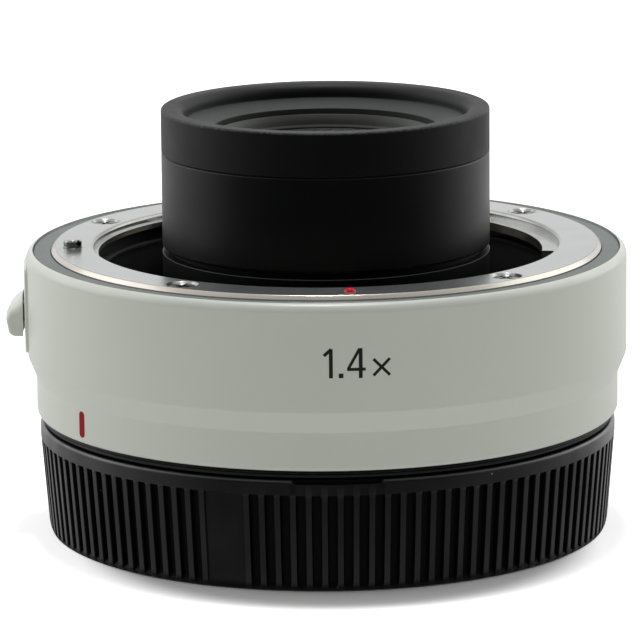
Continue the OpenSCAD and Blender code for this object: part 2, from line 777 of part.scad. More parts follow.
// Outer barrel: painted shell with a rounded rim, a cone and a narrower lower band
module outer_barrel() {
    color([0.82, 0.81, 0.77])
    difference() {
        rotate_extrude()
            difference() {
                union() {
                    translate([0, z_foot])
                        square([low_r - foot_round, band_h]);
                    translate([0, z_foot + foot_round])
                        square([low_r, band_h - foot_round]);
                    translate([low_r - foot_round, z_foot + foot_round])
                        circle(foot_round);
                    polygon([[0, z_band], [low_r, z_band], [barrel_r, z_cone], [0, z_cone]]);
                    translate([0, z_cone])
                        square([barrel_r, z_rim - rim_round - z_cone]);
                    translate([0, z_cone])
                        square([barrel_r - rim_round, z_rim - z_cone]);
                    translate([barrel_r - rim_round, z_rim - rim_round])
                        circle(rim_round);
                }
                polygon([[0, z_foot - eps], [low_in_r, z_foot - eps], [low_in_r, z_band],
                    [barrel_in_r, z_cone], [barrel_in_r, z_seat - eps], [rim_r, z_seat - eps],
                    [rim_r, z_front], [0, z_front]]);
            }
        slider_way(barrel_in_r - eps);
        around(slider_angle)
            difference() {
                upright_panel(plate_w + 2 * seat_gap, plate_h + seat_gap + plate_gap, plate_corner,
                    0, far, z_plate - seat_gap);
                post(plate_in_r, 0, z_front);
            }
        index_line(low_r - index_depth - seat_gap, seat_gap);
    }
}

// Way of the release slider's stem through a wall that starts at a radius
module slider_way(r_in) {
    around(slider_angle)
        translate([r_in, -stem_w / 2 - guide_gap, slot_low])
            cube([far - r_in, stem_w + 2 * guide_gap, slot_h]);
}

// Inlay of the index line, from a radius out to the lower band's face
module index_line(r_in, grow) {
    intersection() {
        around(index_angle)
            upright_panel(index_w + 2 * grow, index_h + 2 * grow, index_w / 2.2, 0, far,
                z_foot + (band_h - index_h) / 2 - grow);
        ring(r_in, low_r + grow, z_foot - eps, z_band + eps);
    }
}

module barrel_index_mark() {
    color([0.62, 0.08, 0.10])
        index_line(low_r - index_depth, 0);
}

// Front trim ring between the mount and the barrel's rim
module front_trim_ring() {
    color([0.55, 0.57, 0.56])
        ring(trim_in_r, trim_r, z_seat, z_front - trim_drop);
}

// Front mount: bevelled plate with a stepped mouth and three bayonet lugs
module front_mount() {
    color([0.80, 0.82, 0.84])
    difference() {
        union() {
            rotate_extrude()
                polygon([[throat_r, z_seat], [mount_r, z_seat], [mount_r, z_front - bevel_h],
                    [mount_r - bevel_w, z_front], [mouth_r, z_front], [mouth_r, z_front - lip_depth],
                    [throat_r, z_front - lip_depth]]);
            for (angle = lug_angles)
                ring_part(lug_r, throat_r + eps, z_front - lip_depth - lug_t, z_front - lip_depth,
                    angle, lug_span);
        }
        ring(throat_r, mouth_r, z_front - lip_depth, z_front + eps);
        for (angle = front_screw_angles)
            around(angle, face_r)
                translate([0, 0, z_front - screw_sink])
                    countersink(screw_len);
        around(lock_angle, face_r)
            post(pin_r + run_gap, z_seat - eps, z_front + eps);
        around(0, face_r)
            post(dot_d / 2 + seat_gap, z_front - dot_depth - seat_gap, z_front + eps);
    }
}

// Four countersunk screws of the front mount
module front_mount_screws() {
    color([0.70, 0.71, 0.72])
        for (angle = front_screw_angles)
            around(angle, face_r)
                translate([0, 0, z_front - screw_sink])
                    countersunk_screw(screw_len);
}

// Round index dot for lining up a lens
module lens_index_dot() {
    color([0.72, 0.08, 0.08])
        around(0, face_r)
            rotate_extrude()
                difference() {
                    translate([0, z_front - dot_depth])
                        square([dot_d / 2, dot_depth + dot_rise]);
                    glass_cut(dot_d / 2, dot_dome_r, z_front + dot_rise, 1);
                }
}

// Guide plate that the release slider runs on
module slider_guide_plate() {
    color([0.80, 0.79, 0.75])
    difference() {
        intersection() {
            ring(plate_in_r, plate_out_r, z_plate - eps, z_plate + plate_h + eps);
            around(slider_angle)
                upright_panel(plate_w, plate_h, plate_corner, 0, far, z_plate);
        }
        slider_way(plate_in_r - eps);
    }
}

// Chassis: wall, two flanges, a web and the collar that carries the lens tube
module chassis() {
    color([0.16, 0.16, 0.17])
    difference() {
        union() {
            rotate_extrude()
                polygon([[base_bore_r, z_base], [chassis_r, z_base], [chassis_r, z_flange],
                    [flange_r, z_flange], [flange_r, z_seat], [flange_bore_r, z_seat],
                    [flange_bore_r, z_flange], [cavity_r, z_flange], [cavity_r, z_web],
                    [tube_r, z_web], [tube_r, z_ledge], [neck_r, z_ledge], [neck_r, z_neck],
                    [collar_bore_r, z_neck], [collar_bore_r, z_web_low], [cavity_r, z_web_low],
                    [cavity_r, z_shelf], [base_bore_r, z_shelf]]);
            for (angle = front_screw_angles)
                around(angle, face_r)
                    post(boss_r, z_flange - boss_h, z_flange + eps);
            for (angle = rear_screw_angles)
                around(angle, rear_screw_r)
                    post(boss_r, z_shelf - eps, z_web_low + eps);
        }
        for (angle = front_screw_angles)
            around(angle, face_r)
                post(screw_r + seat_gap, z_front - screw_sink - screw_len - eps, z_front);
        for (angle = rear_screw_angles)
            around(angle, rear_screw_r)
                post(screw_r + seat_gap, z_base - eps, z_rear + screw_sink + rear_screw_len + eps);
        for (turn = [1 : cell_screw_count])
            around(turn * 360 / cell_screw_count, cell_screw_r)
                post(cell_screw_d / 2 + seat_gap, z_web_low - eps, z_web - eps);
        around(lock_angle, face_r)
            post(pin_r + run_gap, z_flange - eps, z_seat + eps);
        slider_way(cavity_r - eps);
        flex_way(z_web_low - eps, z_web + eps);
    }
}

// Way of the flex cable through a floor
module flex_way(z_low, z_high) {
    around(contact_angle, flex_r)
        translate([-flex_gap, -flex_w / 2 - flex_gap, z_low])
            cube([flex_t + 2 * flex_gap, flex_w + 2 * flex_gap, z_high - z_low]);
}

// Black lining of the throat
module throat_baffle() {
    color([0.05, 0.05, 0.05])
    difference() {
        rotate_extrude()
            polygon([[tube_r + seat_gap, z_web], [baffle_r, z_web], [baffle_r, z_leaf],
                [baffle_in_r, z_leaf], [baffle_in_r, z_floor], [tube_r + seat_gap, z_floor]]);
        flex_way(z_web - eps, z_floor + eps);
    }
}

// Leaf spring ring that presses a lens against the bayonet lugs
module bayonet_leaf_spring() {
    color([0.10, 0.10, 0.10])
    difference() {
        ring(throat_r - lug_reach / 2, baffle_r, z_leaf, z_leaf + leaf_t);
        for (angle = leaf_gap_angles)
            ring_part(0, throat_r - seat_gap, z_leaf - eps, z_leaf + leaf_t + eps, angle,
                leaf_gap_span);
    }
}

// Angle of a contact, by its number
function contact_at(i) = contact_angle + (i - (contact_count - 1) / 2) * contact_step_angle;

// Block that guides the spring contacts in the throat
module front_contact_block() {
    color([0.07, 0.07, 0.07])
    difference() {
        ring_part(block_in_r, block_r, z_floor, z_block, contact_angle, block_span);
        for (i = [0 : contact_count - 1])
            around(contact_at(i), contact_mid_r) {
                post(contact_r + run_gap, z_block - contact_neck_h - eps, z_block + eps);
                post(contact_bore_r, z_spring, z_block - contact_neck_h);
            }
    }
}

// Small coil springs under the contacts, drawn as plain tubes
module contact_springs() {
    color([0.65, 0.63, 0.58])
    for (i = [0 : contact_count - 1])
        around(contact_at(i), contact_mid_r)
            ring(spring_r - spring_wall, spring_r, z_spring, z_contact_head);
}

// Row of spring contacts that press on the lens
module front_contact_pins() {
    color([0.83, 0.66, 0.30])
    for (i = [0 : contact_count - 1])
        around(contact_at(i), contact_mid_r) {
            post(contact_head_r, z_contact_head, z_contact_head + contact_head_h);
            post(contact_r, z_contact_head + contact_head_h / 2, z_block + contact_rise);
        }
}

// Sleeve of the lens tube
module lens_tube() {
    color([0.06, 0.06, 0.06])
    rotate_extrude()
        difference() {
            union() {
                translate([sleeve_in_r, z_neck])
                    square([sleeve_wall - tube_foot_round, z_seam - z_neck]);
                translate([sleeve_in_r, z_neck + tube_foot_round])
                    square([sleeve_wall, z_seam - z_neck - tube_foot_round]);
                translate([tube_r - tube_foot_round, z_neck + tube_foot_round])
                    circle(tube_foot_round);
            }
            polygon([[tube_r - seam_w / 2, z_seam], [tube_r, z_seam - seam_w / 2], [tube_r, z_seam]]);
        }
}

// Front ring that closes the lens tube round the front glass
module front_ring() {
    color([0.08, 0.08, 0.08])
    rotate_extrude()
        polygon([[ring_socket_r, z_seam], [tube_r - seam_w / 2, z_seam], [tube_r, z_seam + seam_w / 2],
            [tube_r, z_top - ring_edge], [tube_r - ring_edge, z_top], [ring_rim_r, z_top],
            [ring_wall_r, z_top - ring_bevel_h], [hood_r, z_hood_top], [hood_bore_r, z_hood],
            [hood_bore_r, z_ring_step], [ring_socket_r, z_ring_step]]);
}

// Cell that holds the three front elements
module front_lens_cell() {
    color([0.09, 0.09, 0.09])
    rotate_extrude()
        polygon([[front_seat_r, z_neck], [front_cell_r, z_neck], [front_cell_r, z_seam - seat_gap],
            [ring_socket_r - seat_gap, z_seam - seat_gap],
            [ring_socket_r - seat_gap, z_ring_step - seat_gap], [front_bore_r, z_ring_step - seat_gap],
            [front_bore_r, z_front_seat], [front_seat_r, z_front_seat]]);
}

// Threaded ring that keeps the front element in its cell
module front_keeper_ring() {
    color([0.12, 0.11, 0.10])
    rotate_extrude()
        polygon([[front_seat_r, z_front_keeper], [front_glass_r, z_front_keeper],
            [front_glass_r, z_hood - keeper_drop], [front_seat_r, z_front_keeper + film]]);
}

module lens_element_1() {
    color([0.55, 0.62, 0.72])
        glass(front_glass_r, z1_front, c1_front, z1_back, c1_back);
}

// Spacer between the front element and the cemented pair behind it
module lens_spacer() {
    color([0.09, 0.09, 0.09])
        ring(front_seat_r, front_glass_r, z_spacer, z_spacer + spacer_h);
}

module lens_element_2() {
    color([0.62, 0.68, 0.72])
        glass(front_glass_r, z2_front, c2_front, z2_back, -c3_front);
}

module lens_element_3() {
    color([0.62, 0.68, 0.72])
        glass(front_glass_r, z3_front, c3_front, z3_back, c3_back);
}

// Threaded ring that keeps the middle pair in the rear cell
module mid_keeper_ring() {
    color([0.12, 0.12, 0.12])
        ring(rear_seat_r, rear_glass_r, z_mid_keeper, z_mid_keeper + keeper_h);
}

module lens_element_4() {
    color([0.62, 0.68, 0.72])
        glass(rear_glass_r, z4_front, c4_front, z4_back, c4_back);
}

module lens_element_5() {
    color([0.62, 0.68, 0.72])
        glass(rear_glass_r, z5_front, -c4_back, z5_back, c5_back);
}

module lens_element_6() {
    color([0.62, 0.68, 0.72])
        glass(rear_glass_r, z6_front, c6_front, z6_back, -c7_front);
}

module lens_element_7() {
    color([0.62, 0.68, 0.72])
        glass(rear_glass_r, z7_front, c7_front, z7_back, c7_back);
}

// Cell that holds the four rear elements and hangs under the chassis web
module rear_lens_cell() {
    color([0.09, 0.09, 0.09])
    difference() {
        rotate_extrude()
            polygon([[rear_bore_r, z_cell], [cell_low_r, z_cell], [cell_low_r, z_web_low - cell_flange_t],
                [cell_flange_r, z_web_low - cell_flange_t], [cell_flange_r, z_web_low],
                [rear_cell_r, z_web_low], [rear_cell_r, z_cell_top], [rear_bore_r, z_cell_top],
                [rear_bore_r, z_glass_shelf + glass_shelf_t], [rear_seat_r, z_glass_shelf + glass_shelf_t],
                [rear_seat_r, z_glass_shelf], [rear_bore_r, z_glass_shelf]]);
        for (turn = [1 : cell_screw_count])
            around(turn * 360 / cell_screw_count, cell_screw_r)
                post(cell_screw_d / 2 + seat_gap, z_web_low - cell_flange_t - eps, z_web_low + eps);
    }
}

// Threaded ring that keeps the rear pair in its cell
module rear_keeper_ring() {
    color([0.12, 0.12, 0.12])
        ring(rear_seat_r, rear_glass_r, z_cell, z_rear_keeper);
}

// Screws that hold the rear cell to the chassis web
module cell_screws() {
    color([0.60, 0.61, 0.62])
    for (turn = [1 : cell_screw_count])
        around(turn * 360 / cell_screw_count, cell_screw_r) {
            post(cell_screw_head_d / 2, z_web_low - cell_flange_t - cell_screw_head_h,
                z_web_low - cell_flange_t);
            post(cell_screw_d / 2, z_web_low - cell_flange_t - eps, z_web - 2 * eps);
        }
}

// Rear baffle with the image window
module rear_light_baffle() {
    color([0.05, 0.05, 0.05])
    difference() {
        post(rear_baffle_r, z_cell - rear_baffle_t, z_cell);
        translate([-window_w / 2, -window_h / 2, z_cell - rear_baffle_t - eps])
            cube([window_w, window_h, rear_baffle_t + 2 * eps]);
    }
}

// Circuit board round the rear cell
module circuit_board() {
    color([0.10, 0.30, 0.16])
    difference() {
        ring_part(board_in_r, board_r, z_shelf, z_shelf + board_t, contact_angle, board_span);
        flex_way(z_shelf - eps, z_shelf + board_t + eps);
    }
}

// Chips on the circuit board
module board_chips() {
    color([0.08, 0.08, 0.09])
    for (angle = chip_angles)
        around(angle, chip_mid_r)
            translate([-chip_w / 2, -chip_l / 2, z_shelf + board_t])
                cube([chip_w, chip_l, chip_h]);
}

// Flex cable from the rear contacts past the board to the front contacts
module flex_cable() {
    color([0.70, 0.45, 0.12])
    around(contact_angle, flex_r)
        translate([0, -flex_w / 2, z_cell + rear_block_t / 2])
            cube([flex_t, flex_w, z_floor - z_cell - rear_block_t / 2]);
}

// Rear mount: flange with a spigot and three bayonet tabs
module rear_mount() {
    color([0.80, 0.82, 0.84])
    difference() {
        union() {
            rotate_extrude()
                polygon([[spigot_in_r, z_spigot], [spigot_r, z_spigot], [spigot_r, z_rear],
                    [rear_r, z_rear], [rear_r, z_base], [spigot_in_r, z_base]]);
            for (i = [1 : tab_count])
                ring_part(spigot_r - eps, tab_r, z_tab, z_tab + tab_t, index_angle + i * tab_turn,
                    tab_span);
        }
        for (angle = rear_screw_angles)
            around(angle, rear_screw_r)
                translate([0, 0, z_rear + screw_sink])
                    mirror([0, 0, 1])
                        countersink(rear_screw_len);
    }
}

// Four countersunk screws of the rear mount
module rear_mount_screws() {
    color([0.70, 0.71, 0.72])
    for (angle = rear_screw_angles)
        around(angle, rear_screw_r)
            translate([0, 0, z_rear + screw_sink])
                mirror([0, 0, 1])
                    countersunk_screw(rear_screw_len);
}

// Rear trim ring round the rear mount, under the barrel
module rear_trim_ring() {
    color([0.13, 0.13, 0.13])
    rotate_extrude()
        polygon([[trim_seat_r, z_trim], [trim_edge_r, z_trim], [trim_edge_r, z_foot], [chassis_r, z_foot],
            [chassis_r, z_base], [trim_seat_r, z_base]]);
}

// Block that carries the flat rear contacts, on a ring inside the spigot
module rear_contact_block() {
    color([0.07, 0.07, 0.07])
    difference() {
        union() {
            ring(rear_block_in_r, rear_block_r, z_rear_block, z_cell);
            ring_part(rear_block_in_r + seat_gap, rear_block_r - seat_gap, z_pad,
                z_cell + rear_block_t / 2, contact_angle, block_span);
        }
        for (i = [0 : contact_count - 1])
            around(contact_at(i), pad_mid_r)
                translate([-pad_l / 2 - seat_gap, -pad_w / 2 - seat_gap, z_pad - eps])
                    cube([pad_l + 2 * seat_gap, pad_w + 2 * seat_gap, pad_t + eps]);
    }
}

// Flat rear contacts
module rear_contact_pads() {
    color([0.83, 0.66, 0.30])
    for (i = [0 : contact_count - 1])
        around(contact_at(i), pad_mid_r)
            translate([-pad_l / 2, -pad_w / 2, z_pad])
                cube([pad_l, pad_w, pad_t]);
}

// Release slider: finger catch bent round the barrel, stem and tongue
module release_slider() {
    color([0.84, 0.83, 0.80]) {
        intersection() {
            rotate_extrude()
                slider_profile();
            around(slider_angle)
                upright_panel(slider_w, slider_h + slider_corner, slider_corner, 0, far,
                    z_slider - slider_corner);
        }
        around(slider_angle) {
            translate([stem_end_r, -stem_w / 2, z_stem])
                cube([slider_in_r + nose_r - stem_end_r, stem_w, stem_h]);
            translate([tongue_r, -tongue_w / 2, z_slide + tongue_skin])
                cube([stem_end_r + eps - tongue_r, tongue_w, slide_t - tongue_skin]);
        }
    }
}

// Section of the finger catch: flat foot, round toe, round nose and hollow ramp
module slider_profile() {
    toe_z = z_slider + toe_r;
    toe_out_r = slider_out_r - toe_inset;
    nose_z = z_slider + nose_up;
    nose_in_r = slider_out_r - nose_r;
    nose_slope = nose_r * sin(45);
    ramp_run = nose_in_r + nose_slope - slider_in_r;
    difference() {
        union() {
            polygon([[slider_in_r, z_slider], [toe_out_r - toe_r, z_slider], [toe_out_r, toe_z],
                [slider_out_r, nose_z], [nose_in_r + nose_slope, nose_z + nose_slope],
                [slider_in_r, nose_z + nose_slope + ramp_run]]);
            translate([toe_out_r - toe_r, toe_z])
                circle(toe_r);
            translate([nose_in_r, nose_z])
                circle(nose_r);
        }
        translate([slider_out_r + ramp_out, z_slider + ramp_up])
            circle(ramp_r);
        translate([slider_in_r - far, z_slider - far])
            square([far, 2 * far]);
    }
}

// Slide plate that carries the slider's motion round to the lock pin
module lock_slide_plate() {
    color([0.62, 0.63, 0.65])
    difference() {
        ring_part(slide_low_r, slide_high_r, z_slide, z_slide + slide_t,
            (slide_near_angle + slide_far_angle) / 2, slide_near_angle - slide_far_angle);
        around(slider_angle)
            translate([tongue_r - seat_gap, -tongue_w / 2 - seat_gap, z_slide + tongue_skin])
                cube([far, tongue_w + 2 * seat_gap, slide_t]);
        around(lock_angle, face_r)
            post(pin_r + seat_gap, z_slide + tongue_skin, z_slide + slide_t + eps);
        around(lock_angle, face_r)
            post(stub_d / 2 + seat_gap, z_slide - eps, z_slide + slide_t);
        around(post_angle, face_r)
            post(post_r + run_gap, z_slide - eps, z_slide + slide_t + eps);
    }
}

// Lock pin that stands out of the front mount
module lens_lock_pin() {
    color([0.78, 0.79, 0.80])
    around(lock_angle, face_r) {
        post(pin_r, z_slide + tongue_skin, z_front + pin_rise - eps);
        translate([0, 0, z_front + pin_rise - eps])
            cylinder(r1 = pin_r, r2 = pin_r - eps, h = eps);
        post(stub_d / 2, z_slide - stub_h, z_slide + tongue_skin + eps);
    }
}

// Coil spring that presses the lock pin up: a round wire swept along a helix
module lock_spring() {
    turns = 4.5;
    steps = 8;
    sides = 6;
    wire_r = lock_wire / 2;
    z_low = z_web + wire_r;
    rise = z_slide - z_web - lock_wire;
    count = turns * steps;
    points = [for (i = [0 : count], k = [0 : sides - 1])
        let (turn = i * 360 / steps, side = k * 360 / sides)
        let (r = lock_coil_d / 2 + wire_r * cos(side))
        [r * cos(turn), r * sin(turn), z_low + rise * i / count + wire_r * sin(side)]];
    skin = [for (i = [0 : count - 1], k = [0 : sides - 1])
        let (a = i * sides + k, b = i * sides + (k + 1) % sides)
        [a, a + sides, b + sides, b]];
    first = [[for (k = [0 : sides - 1]) k]];
    last = [[for (k = [0 : sides - 1]) count * sides + sides - 1 - k]];
    color([0.68, 0.68, 0.70])
        around(lock_angle, face_r)
            polyhedron(points, concat(skin, first, last));
}

// Post that keeps the slide plate level
module lock_guide_post() {
    color([0.70, 0.71, 0.72])
        around(post_angle, face_r)
            post(post_r, z_web, z_flange);
}

// Loose rubber seal between the trim ring and the cap's rim
module rear_mount_seal() {
    color([0.08, 0.08, 0.08])
        ring(seal_in_r, seal_r, z_seal, z_seal + seal_h);
}

// Star of grip ribs and the smooth patch, as a flat shape
module rib_star() {
    half = rib_w / cap_r * 90 / PI;
    inner_r = cap_low_r - rib_h - cap_wall / 2;
    outer_r = cap_r + rib_h;
    points = [for (i = [0 : rib_count - 1])
        let (a = rib_turn + i * 360 / rib_count)
        each [for (p = [[-half, inner_r], [-half, outer_r], [half, outer_r], [half, inner_r]])
            [p[1] * cos(a + p[0]), p[1] * sin(a + p[0])]]];
    polygon(points);
}

// Tapered outside of the ribs, drawn in by an inset
module cap_cone(inset) {
    rotate_extrude()
        polygon([[0, 0], [cap_low_r - cap_edge - inset, 0], [cap_low_r - inset, cap_edge],
            [cap_r - inset, z_rib], [0, z_rib]]);
}

// Rear cap: ribbed cup with a bayonet socket
module rear_cap() {
    root_low_r = cap_low_r - rib_h;
    color([0.09, 0.09, 0.09]) {
        difference() {
            union() {
                rotate_extrude()
                    polygon([[0, 0], [root_low_r - cap_edge, 0], [cap_r - rib_h, z_rib], [cap_r, z_rib],
                        [cap_r, cap_h - cap_edge], [cap_r - cap_edge, cap_h], [0, cap_h]]);
                intersection() {
                    linear_extrude(z_rib)
                        rib_star();
                    cap_cone(0);
                }
                intersection() {
                    around(patch_angle)
                        translate([root_low_r - cap_wall / 2, -patch_w / 2, 0])
                            cube([cap_wall + 2 * rib_h, patch_w, z_rib]);
                    cap_cone(patch_sink);
                }
            }
            ring_part(cap_r - notch_w, cap_r + eps, cap_h - notch_h, cap_h + eps,
                notch_angle, notch_span);
            post(cap_in_r, cap_floor, cap_h + eps);
            ring(groove_in_r, socket_r, -eps, cap_groove);
        }
        ring(socket_r, socket_out_r, cap_floor - eps, z_socket);
        for (i = [1 : tab_count])
            ring_part(cap_lug_r, socket_r + eps, z_cap_lug, z_cap_lug + cap_lug_t,
                cap_lug_angle + i * tab_turn, cap_lug_span);
    }
}

outer_barrel();
front_trim_ring();
front_mount();
front_mount_screws();
lens_index_dot();
barrel_index_mark();
slider_guide_plate();
chassis();
throat_baffle();
bayonet_leaf_spring();
front_contact_block();
contact_springs();
front_contact_pins();
lens_tube();
front_ring();
front_lens_cell();
front_keeper_ring();
lens_element_1();
lens_spacer();
lens_element_2();
lens_element_3();
mid_keeper_ring();
lens_element_4();
lens_element_5();
lens_element_6();
lens_element_7();
rear_lens_cell();
rear_keeper_ring();
cell_screws();
rear_light_baffle();
circuit_board();
board_chips();
flex_cable();
rear_mount();
rear_mount_screws();
rear_trim_ring();
rear_contact_block();
rear_contact_pads();
release_slider();
lock_slide_plate();
lens_lock_pin();
lock_spring();
lock_guide_post();
rear_mount_seal();
rear_cap();
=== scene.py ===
"""Looks of a camera teleconverter that stands on its rear cap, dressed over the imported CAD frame.

Shape functions work in millimetres. Angles are degrees round the optical axis, from the index dot
at -Y, positive towards +X, and a section is a closed outline of (radius, height) points.
"""

import math

import bmesh
import bpy
import numpy as np
from bpy.props import FloatProperty, FloatVectorProperty, IntProperty, PointerProperty
from mathutils import Matrix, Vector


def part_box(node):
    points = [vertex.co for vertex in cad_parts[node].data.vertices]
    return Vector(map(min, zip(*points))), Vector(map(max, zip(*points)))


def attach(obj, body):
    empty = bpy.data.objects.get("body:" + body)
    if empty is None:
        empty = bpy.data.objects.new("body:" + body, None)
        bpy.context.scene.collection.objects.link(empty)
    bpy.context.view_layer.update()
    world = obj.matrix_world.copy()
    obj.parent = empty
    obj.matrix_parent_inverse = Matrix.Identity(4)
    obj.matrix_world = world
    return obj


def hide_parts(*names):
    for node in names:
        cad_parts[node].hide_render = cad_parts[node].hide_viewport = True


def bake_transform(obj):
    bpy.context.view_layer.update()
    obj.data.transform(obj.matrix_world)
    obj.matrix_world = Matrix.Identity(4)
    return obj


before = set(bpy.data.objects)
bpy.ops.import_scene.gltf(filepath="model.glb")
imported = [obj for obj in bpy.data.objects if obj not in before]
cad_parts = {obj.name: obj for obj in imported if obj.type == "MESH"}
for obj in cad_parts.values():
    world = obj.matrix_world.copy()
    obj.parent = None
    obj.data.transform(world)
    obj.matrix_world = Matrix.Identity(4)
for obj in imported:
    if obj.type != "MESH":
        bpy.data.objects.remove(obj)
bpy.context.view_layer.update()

bl_info = {
    "name": "Camera teleconverter",
    "version": (1, 0, 0),
    "blender": (4, 5, 0),
    "location": "View3D > Sidebar > Teleconverter",
    "description": "Surfaces, finishes and stage of a camera teleconverter on its rear cap",
    "category": "Object",
}

MM = 0.001

FRONT_SCREW_ANGLES = (-122, -38, 38, 122)
REAR_SCREW_ANGLES = (45, 135, 225, 315)
LUG_ANGLES = (105, -20, -163)
TAB_ANGLES = (60, 180, 300)
CAP_LUG_ANGLES = (20, 140, 260)
SLIDER_ANGLE = -98
LOCK_ANGLE = -90
INDEX_ANGLE = -60
PATCH_ANGLE = -25.4
NOTCH_ANGLE, NOTCH_SPAN = -3, 17
RIB_TURN = 1.1
CONTACT_ANGLES = 180 + 6 * (np.arange(12) - 5.5)
FRONT_CONTACT_CIRCLE, REAR_CONTACT_CIRCLE = 23.4, 21.95
REAR_SCREW_CIRCLE = 28.99
FIGURE_HEIGHT = 26.96
LIP_DEPTH = 0.85
KEEPER_DROP = 0.2
COIL_RADIUS, COIL_WIRE, COIL_TURNS = 1.1, 0.16, 4.5
PATCH_RISE = 0.62


def low(node):
    """Height of a CAD node's lowest point, in millimetres."""
    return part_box(node)[0].z / MM


def high(node):
    """Height of a CAD node's highest point, in millimetres."""
    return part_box(node)[1].z / MM


def reach(node):
    """Largest distance of a CAD node from the axis along X, in millimetres."""
    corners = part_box(node)
    return max(-corners[0].x, corners[1].x) / MM


# ---------------------------------------------------------------- values a user may change

def length(name, description, millimetres):
    """Length property whose default is given in millimetres."""
    return FloatProperty(name=name, description=description, default=float(millimetres) * MM,
                         min=0.0, precision=5, subtype="DISTANCE", unit="LENGTH")


def colour(name, description, value):
    """Colour property with a linear default."""
    return FloatVectorProperty(name=name, description=description, default=value, size=3,
                               min=0.0, max=1.0, subtype="COLOR")


class ConverterSizes(bpy.types.PropertyGroup):
    """Sizes of the dressed surfaces"""
    columns: IntProperty(name="Columns", description="Steps round a large turned surface",
                         default=288, min=48, max=720)
    barrel_radius: length("Barrel radius", "Radius of the painted barrel", reach("outer_barrel"))
    rim_round: length("Rim round", "Radius of the barrel's rounded front edge", 1.1)
    band_step: length("Band step", "Step in radius down to the barrel's lower band", 1.0)
    band_height: length("Band height", "Height of the barrel's lower band", 4.5)
    cone_height: length("Cone height", "Height of the cone above the lower band", 2.5)
    figure_stroke: length("Figure stroke", "Width of the printed figures' strokes", 0.39)
    paint_film: length("Paint film", "Thickness of printed marks", 0.012)
    mount_radius: length("Mount radius", "Radius of the front mount plate", reach("front_mount"))
    mouth_radius: length("Mouth radius", "Radius of the front mount's mouth", 27.5)
    throat_radius: length("Throat radius", "Radius of the bayonet throat", 27.0)
    bevel_width: length("Bevel width", "Width of the front mount's outer bevel", 0.44)
    bevel_height: length("Bevel height", "Height of the front mount's outer bevel", 0.48)
    mouth_round: length("Mouth round", "Radius of the mouth's rounded edge", 0.42)
    screw_circle: length("Screw circle", "Radius of the circle of front screws", 30.05)
    screw_head: length("Screw head", "Diameter of a mount screw's head", 3.0)
    tube_radius: length("Tube radius", "Radius of the lens tube", reach("lens_tube"))
    tube_rim: length("Tube rim", "Width of the front ring's flat rim", 2.6)
    seam: length("Seam", "Width of the seam in the lens tube", 0.32)
    slider_width: length("Slider width", "Width of the release slider", 10.0)
    cap_radius: length("Cap radius", "Radius of the cap's rim", reach("rear_cap"))
    cap_taper: length("Cap taper", "Narrowing of the cap's radius down to its base", 0.9)
    rib_count: IntProperty(name="Ribs", description="Grip ribs round the cap", default=119, min=40)
    rib_width: length("Rib width", "Width of a grip rib", 0.78)
    rib_height: length("Rib height", "Height of a grip rib", 0.6)
    patch_width: length("Patch width", "Width of the smooth patch between the ribs", 4.7)


class ConverterColours(bpy.types.PropertyGroup):
    """Colours of the finishes"""
    paint: colour("Barrel paint", "Warm off-white satin paint", (0.772, 0.803, 0.709))
    trim: colour("Trim grey", "Satin grey of the front trim ring", (0.170, 0.196, 0.190))
    plating: colour("Plating", "Bright plated metal of the mounts", (0.430, 0.448, 0.440))
    steel: colour("Steel", "Plain steel of screws, pin and springs", (0.560, 0.555, 0.540))
    tube: colour("Tube black", "Anodised black of the lens tube", (0.0033, 0.0037, 0.0037))
    throat: colour("Throat black", "Flat black of the light baffles", (0.0050, 0.0050, 0.0050))
    cap: colour("Cap black", "Moulded black plastic of the cap", (0.0042, 0.0044, 0.0046))
    mark: colour("Mark red", "Red of the index dot and line", (0.360, 0.005, 0.010))
    figure: colour("Figure grey", "Dark grey of the printed figures", (0.020, 0.020, 0.017))
    gold: colour("Contact gold", "Gold of the contacts", (0.780, 0.520, 0.180))
    glass: colour("Glass tint", "Tint of the coated glass", (0.860, 0.920, 0.960))
    board: colour("Board green", "Green of the circuit board", (0.010, 0.070, 0.025))
    flex: colour("Flex amber", "Amber of the flex cable", (0.420, 0.170, 0.020))
    rubber: colour("Rubber", "Black of the rear seal", (0.010, 0.010, 0.010))


class ConverterStage(bpy.types.PropertyGroup):
    """Camera, lamps and floor"""
    distance: FloatProperty(name="Distance", description="Camera's distance from the axis",
                            default=0.5542, subtype="DISTANCE", unit="LENGTH")
    height: FloatProperty(name="Height", description="Camera's height above the floor",
                          default=0.1410, subtype="DISTANCE", unit="LENGTH")
    azimuth: FloatProperty(name="Azimuth", description="Camera's turn round the axis",
                           default=math.radians(-5.0), subtype="ANGLE", unit="ROTATION")
    yaw: FloatProperty(name="Yaw", description="Camera's turn away from the axis",
                       default=math.radians(0.0843), subtype="ANGLE", unit="ROTATION")
    pitch: FloatProperty(name="Pitch", description="Camera's tilt below the horizon",
                         default=math.radians(11.87), subtype="ANGLE", unit="ROTATION")
    roll: FloatProperty(name="Roll", description="Camera's roll",
                        default=math.radians(-0.497), subtype="ANGLE", unit="ROTATION")
    lens: FloatProperty(name="Lens", description="Focal length in millimetres", default=267.6)
    side_power: FloatProperty(name="Side lamps", description="Power of each side lamp",
                              default=1.6, subtype="POWER", unit="POWER")
    top_power: FloatProperty(name="Top lamp", description="Power of the lamp overhead",
                             default=2.8, subtype="POWER", unit="POWER")
    ambient: FloatProperty(name="Ambient", description="Strength of the surrounding light",
                           default=0.46, min=0.0)
    floor: colour("Floor", "Colour of the floor", (0.86, 0.86, 0.86))


def mm(name):
    """A size from the sidebar, in millimetres."""
    return getattr(bpy.context.scene.converter_sizes, name) / MM


# ---------------------------------------------------------------- surfaces

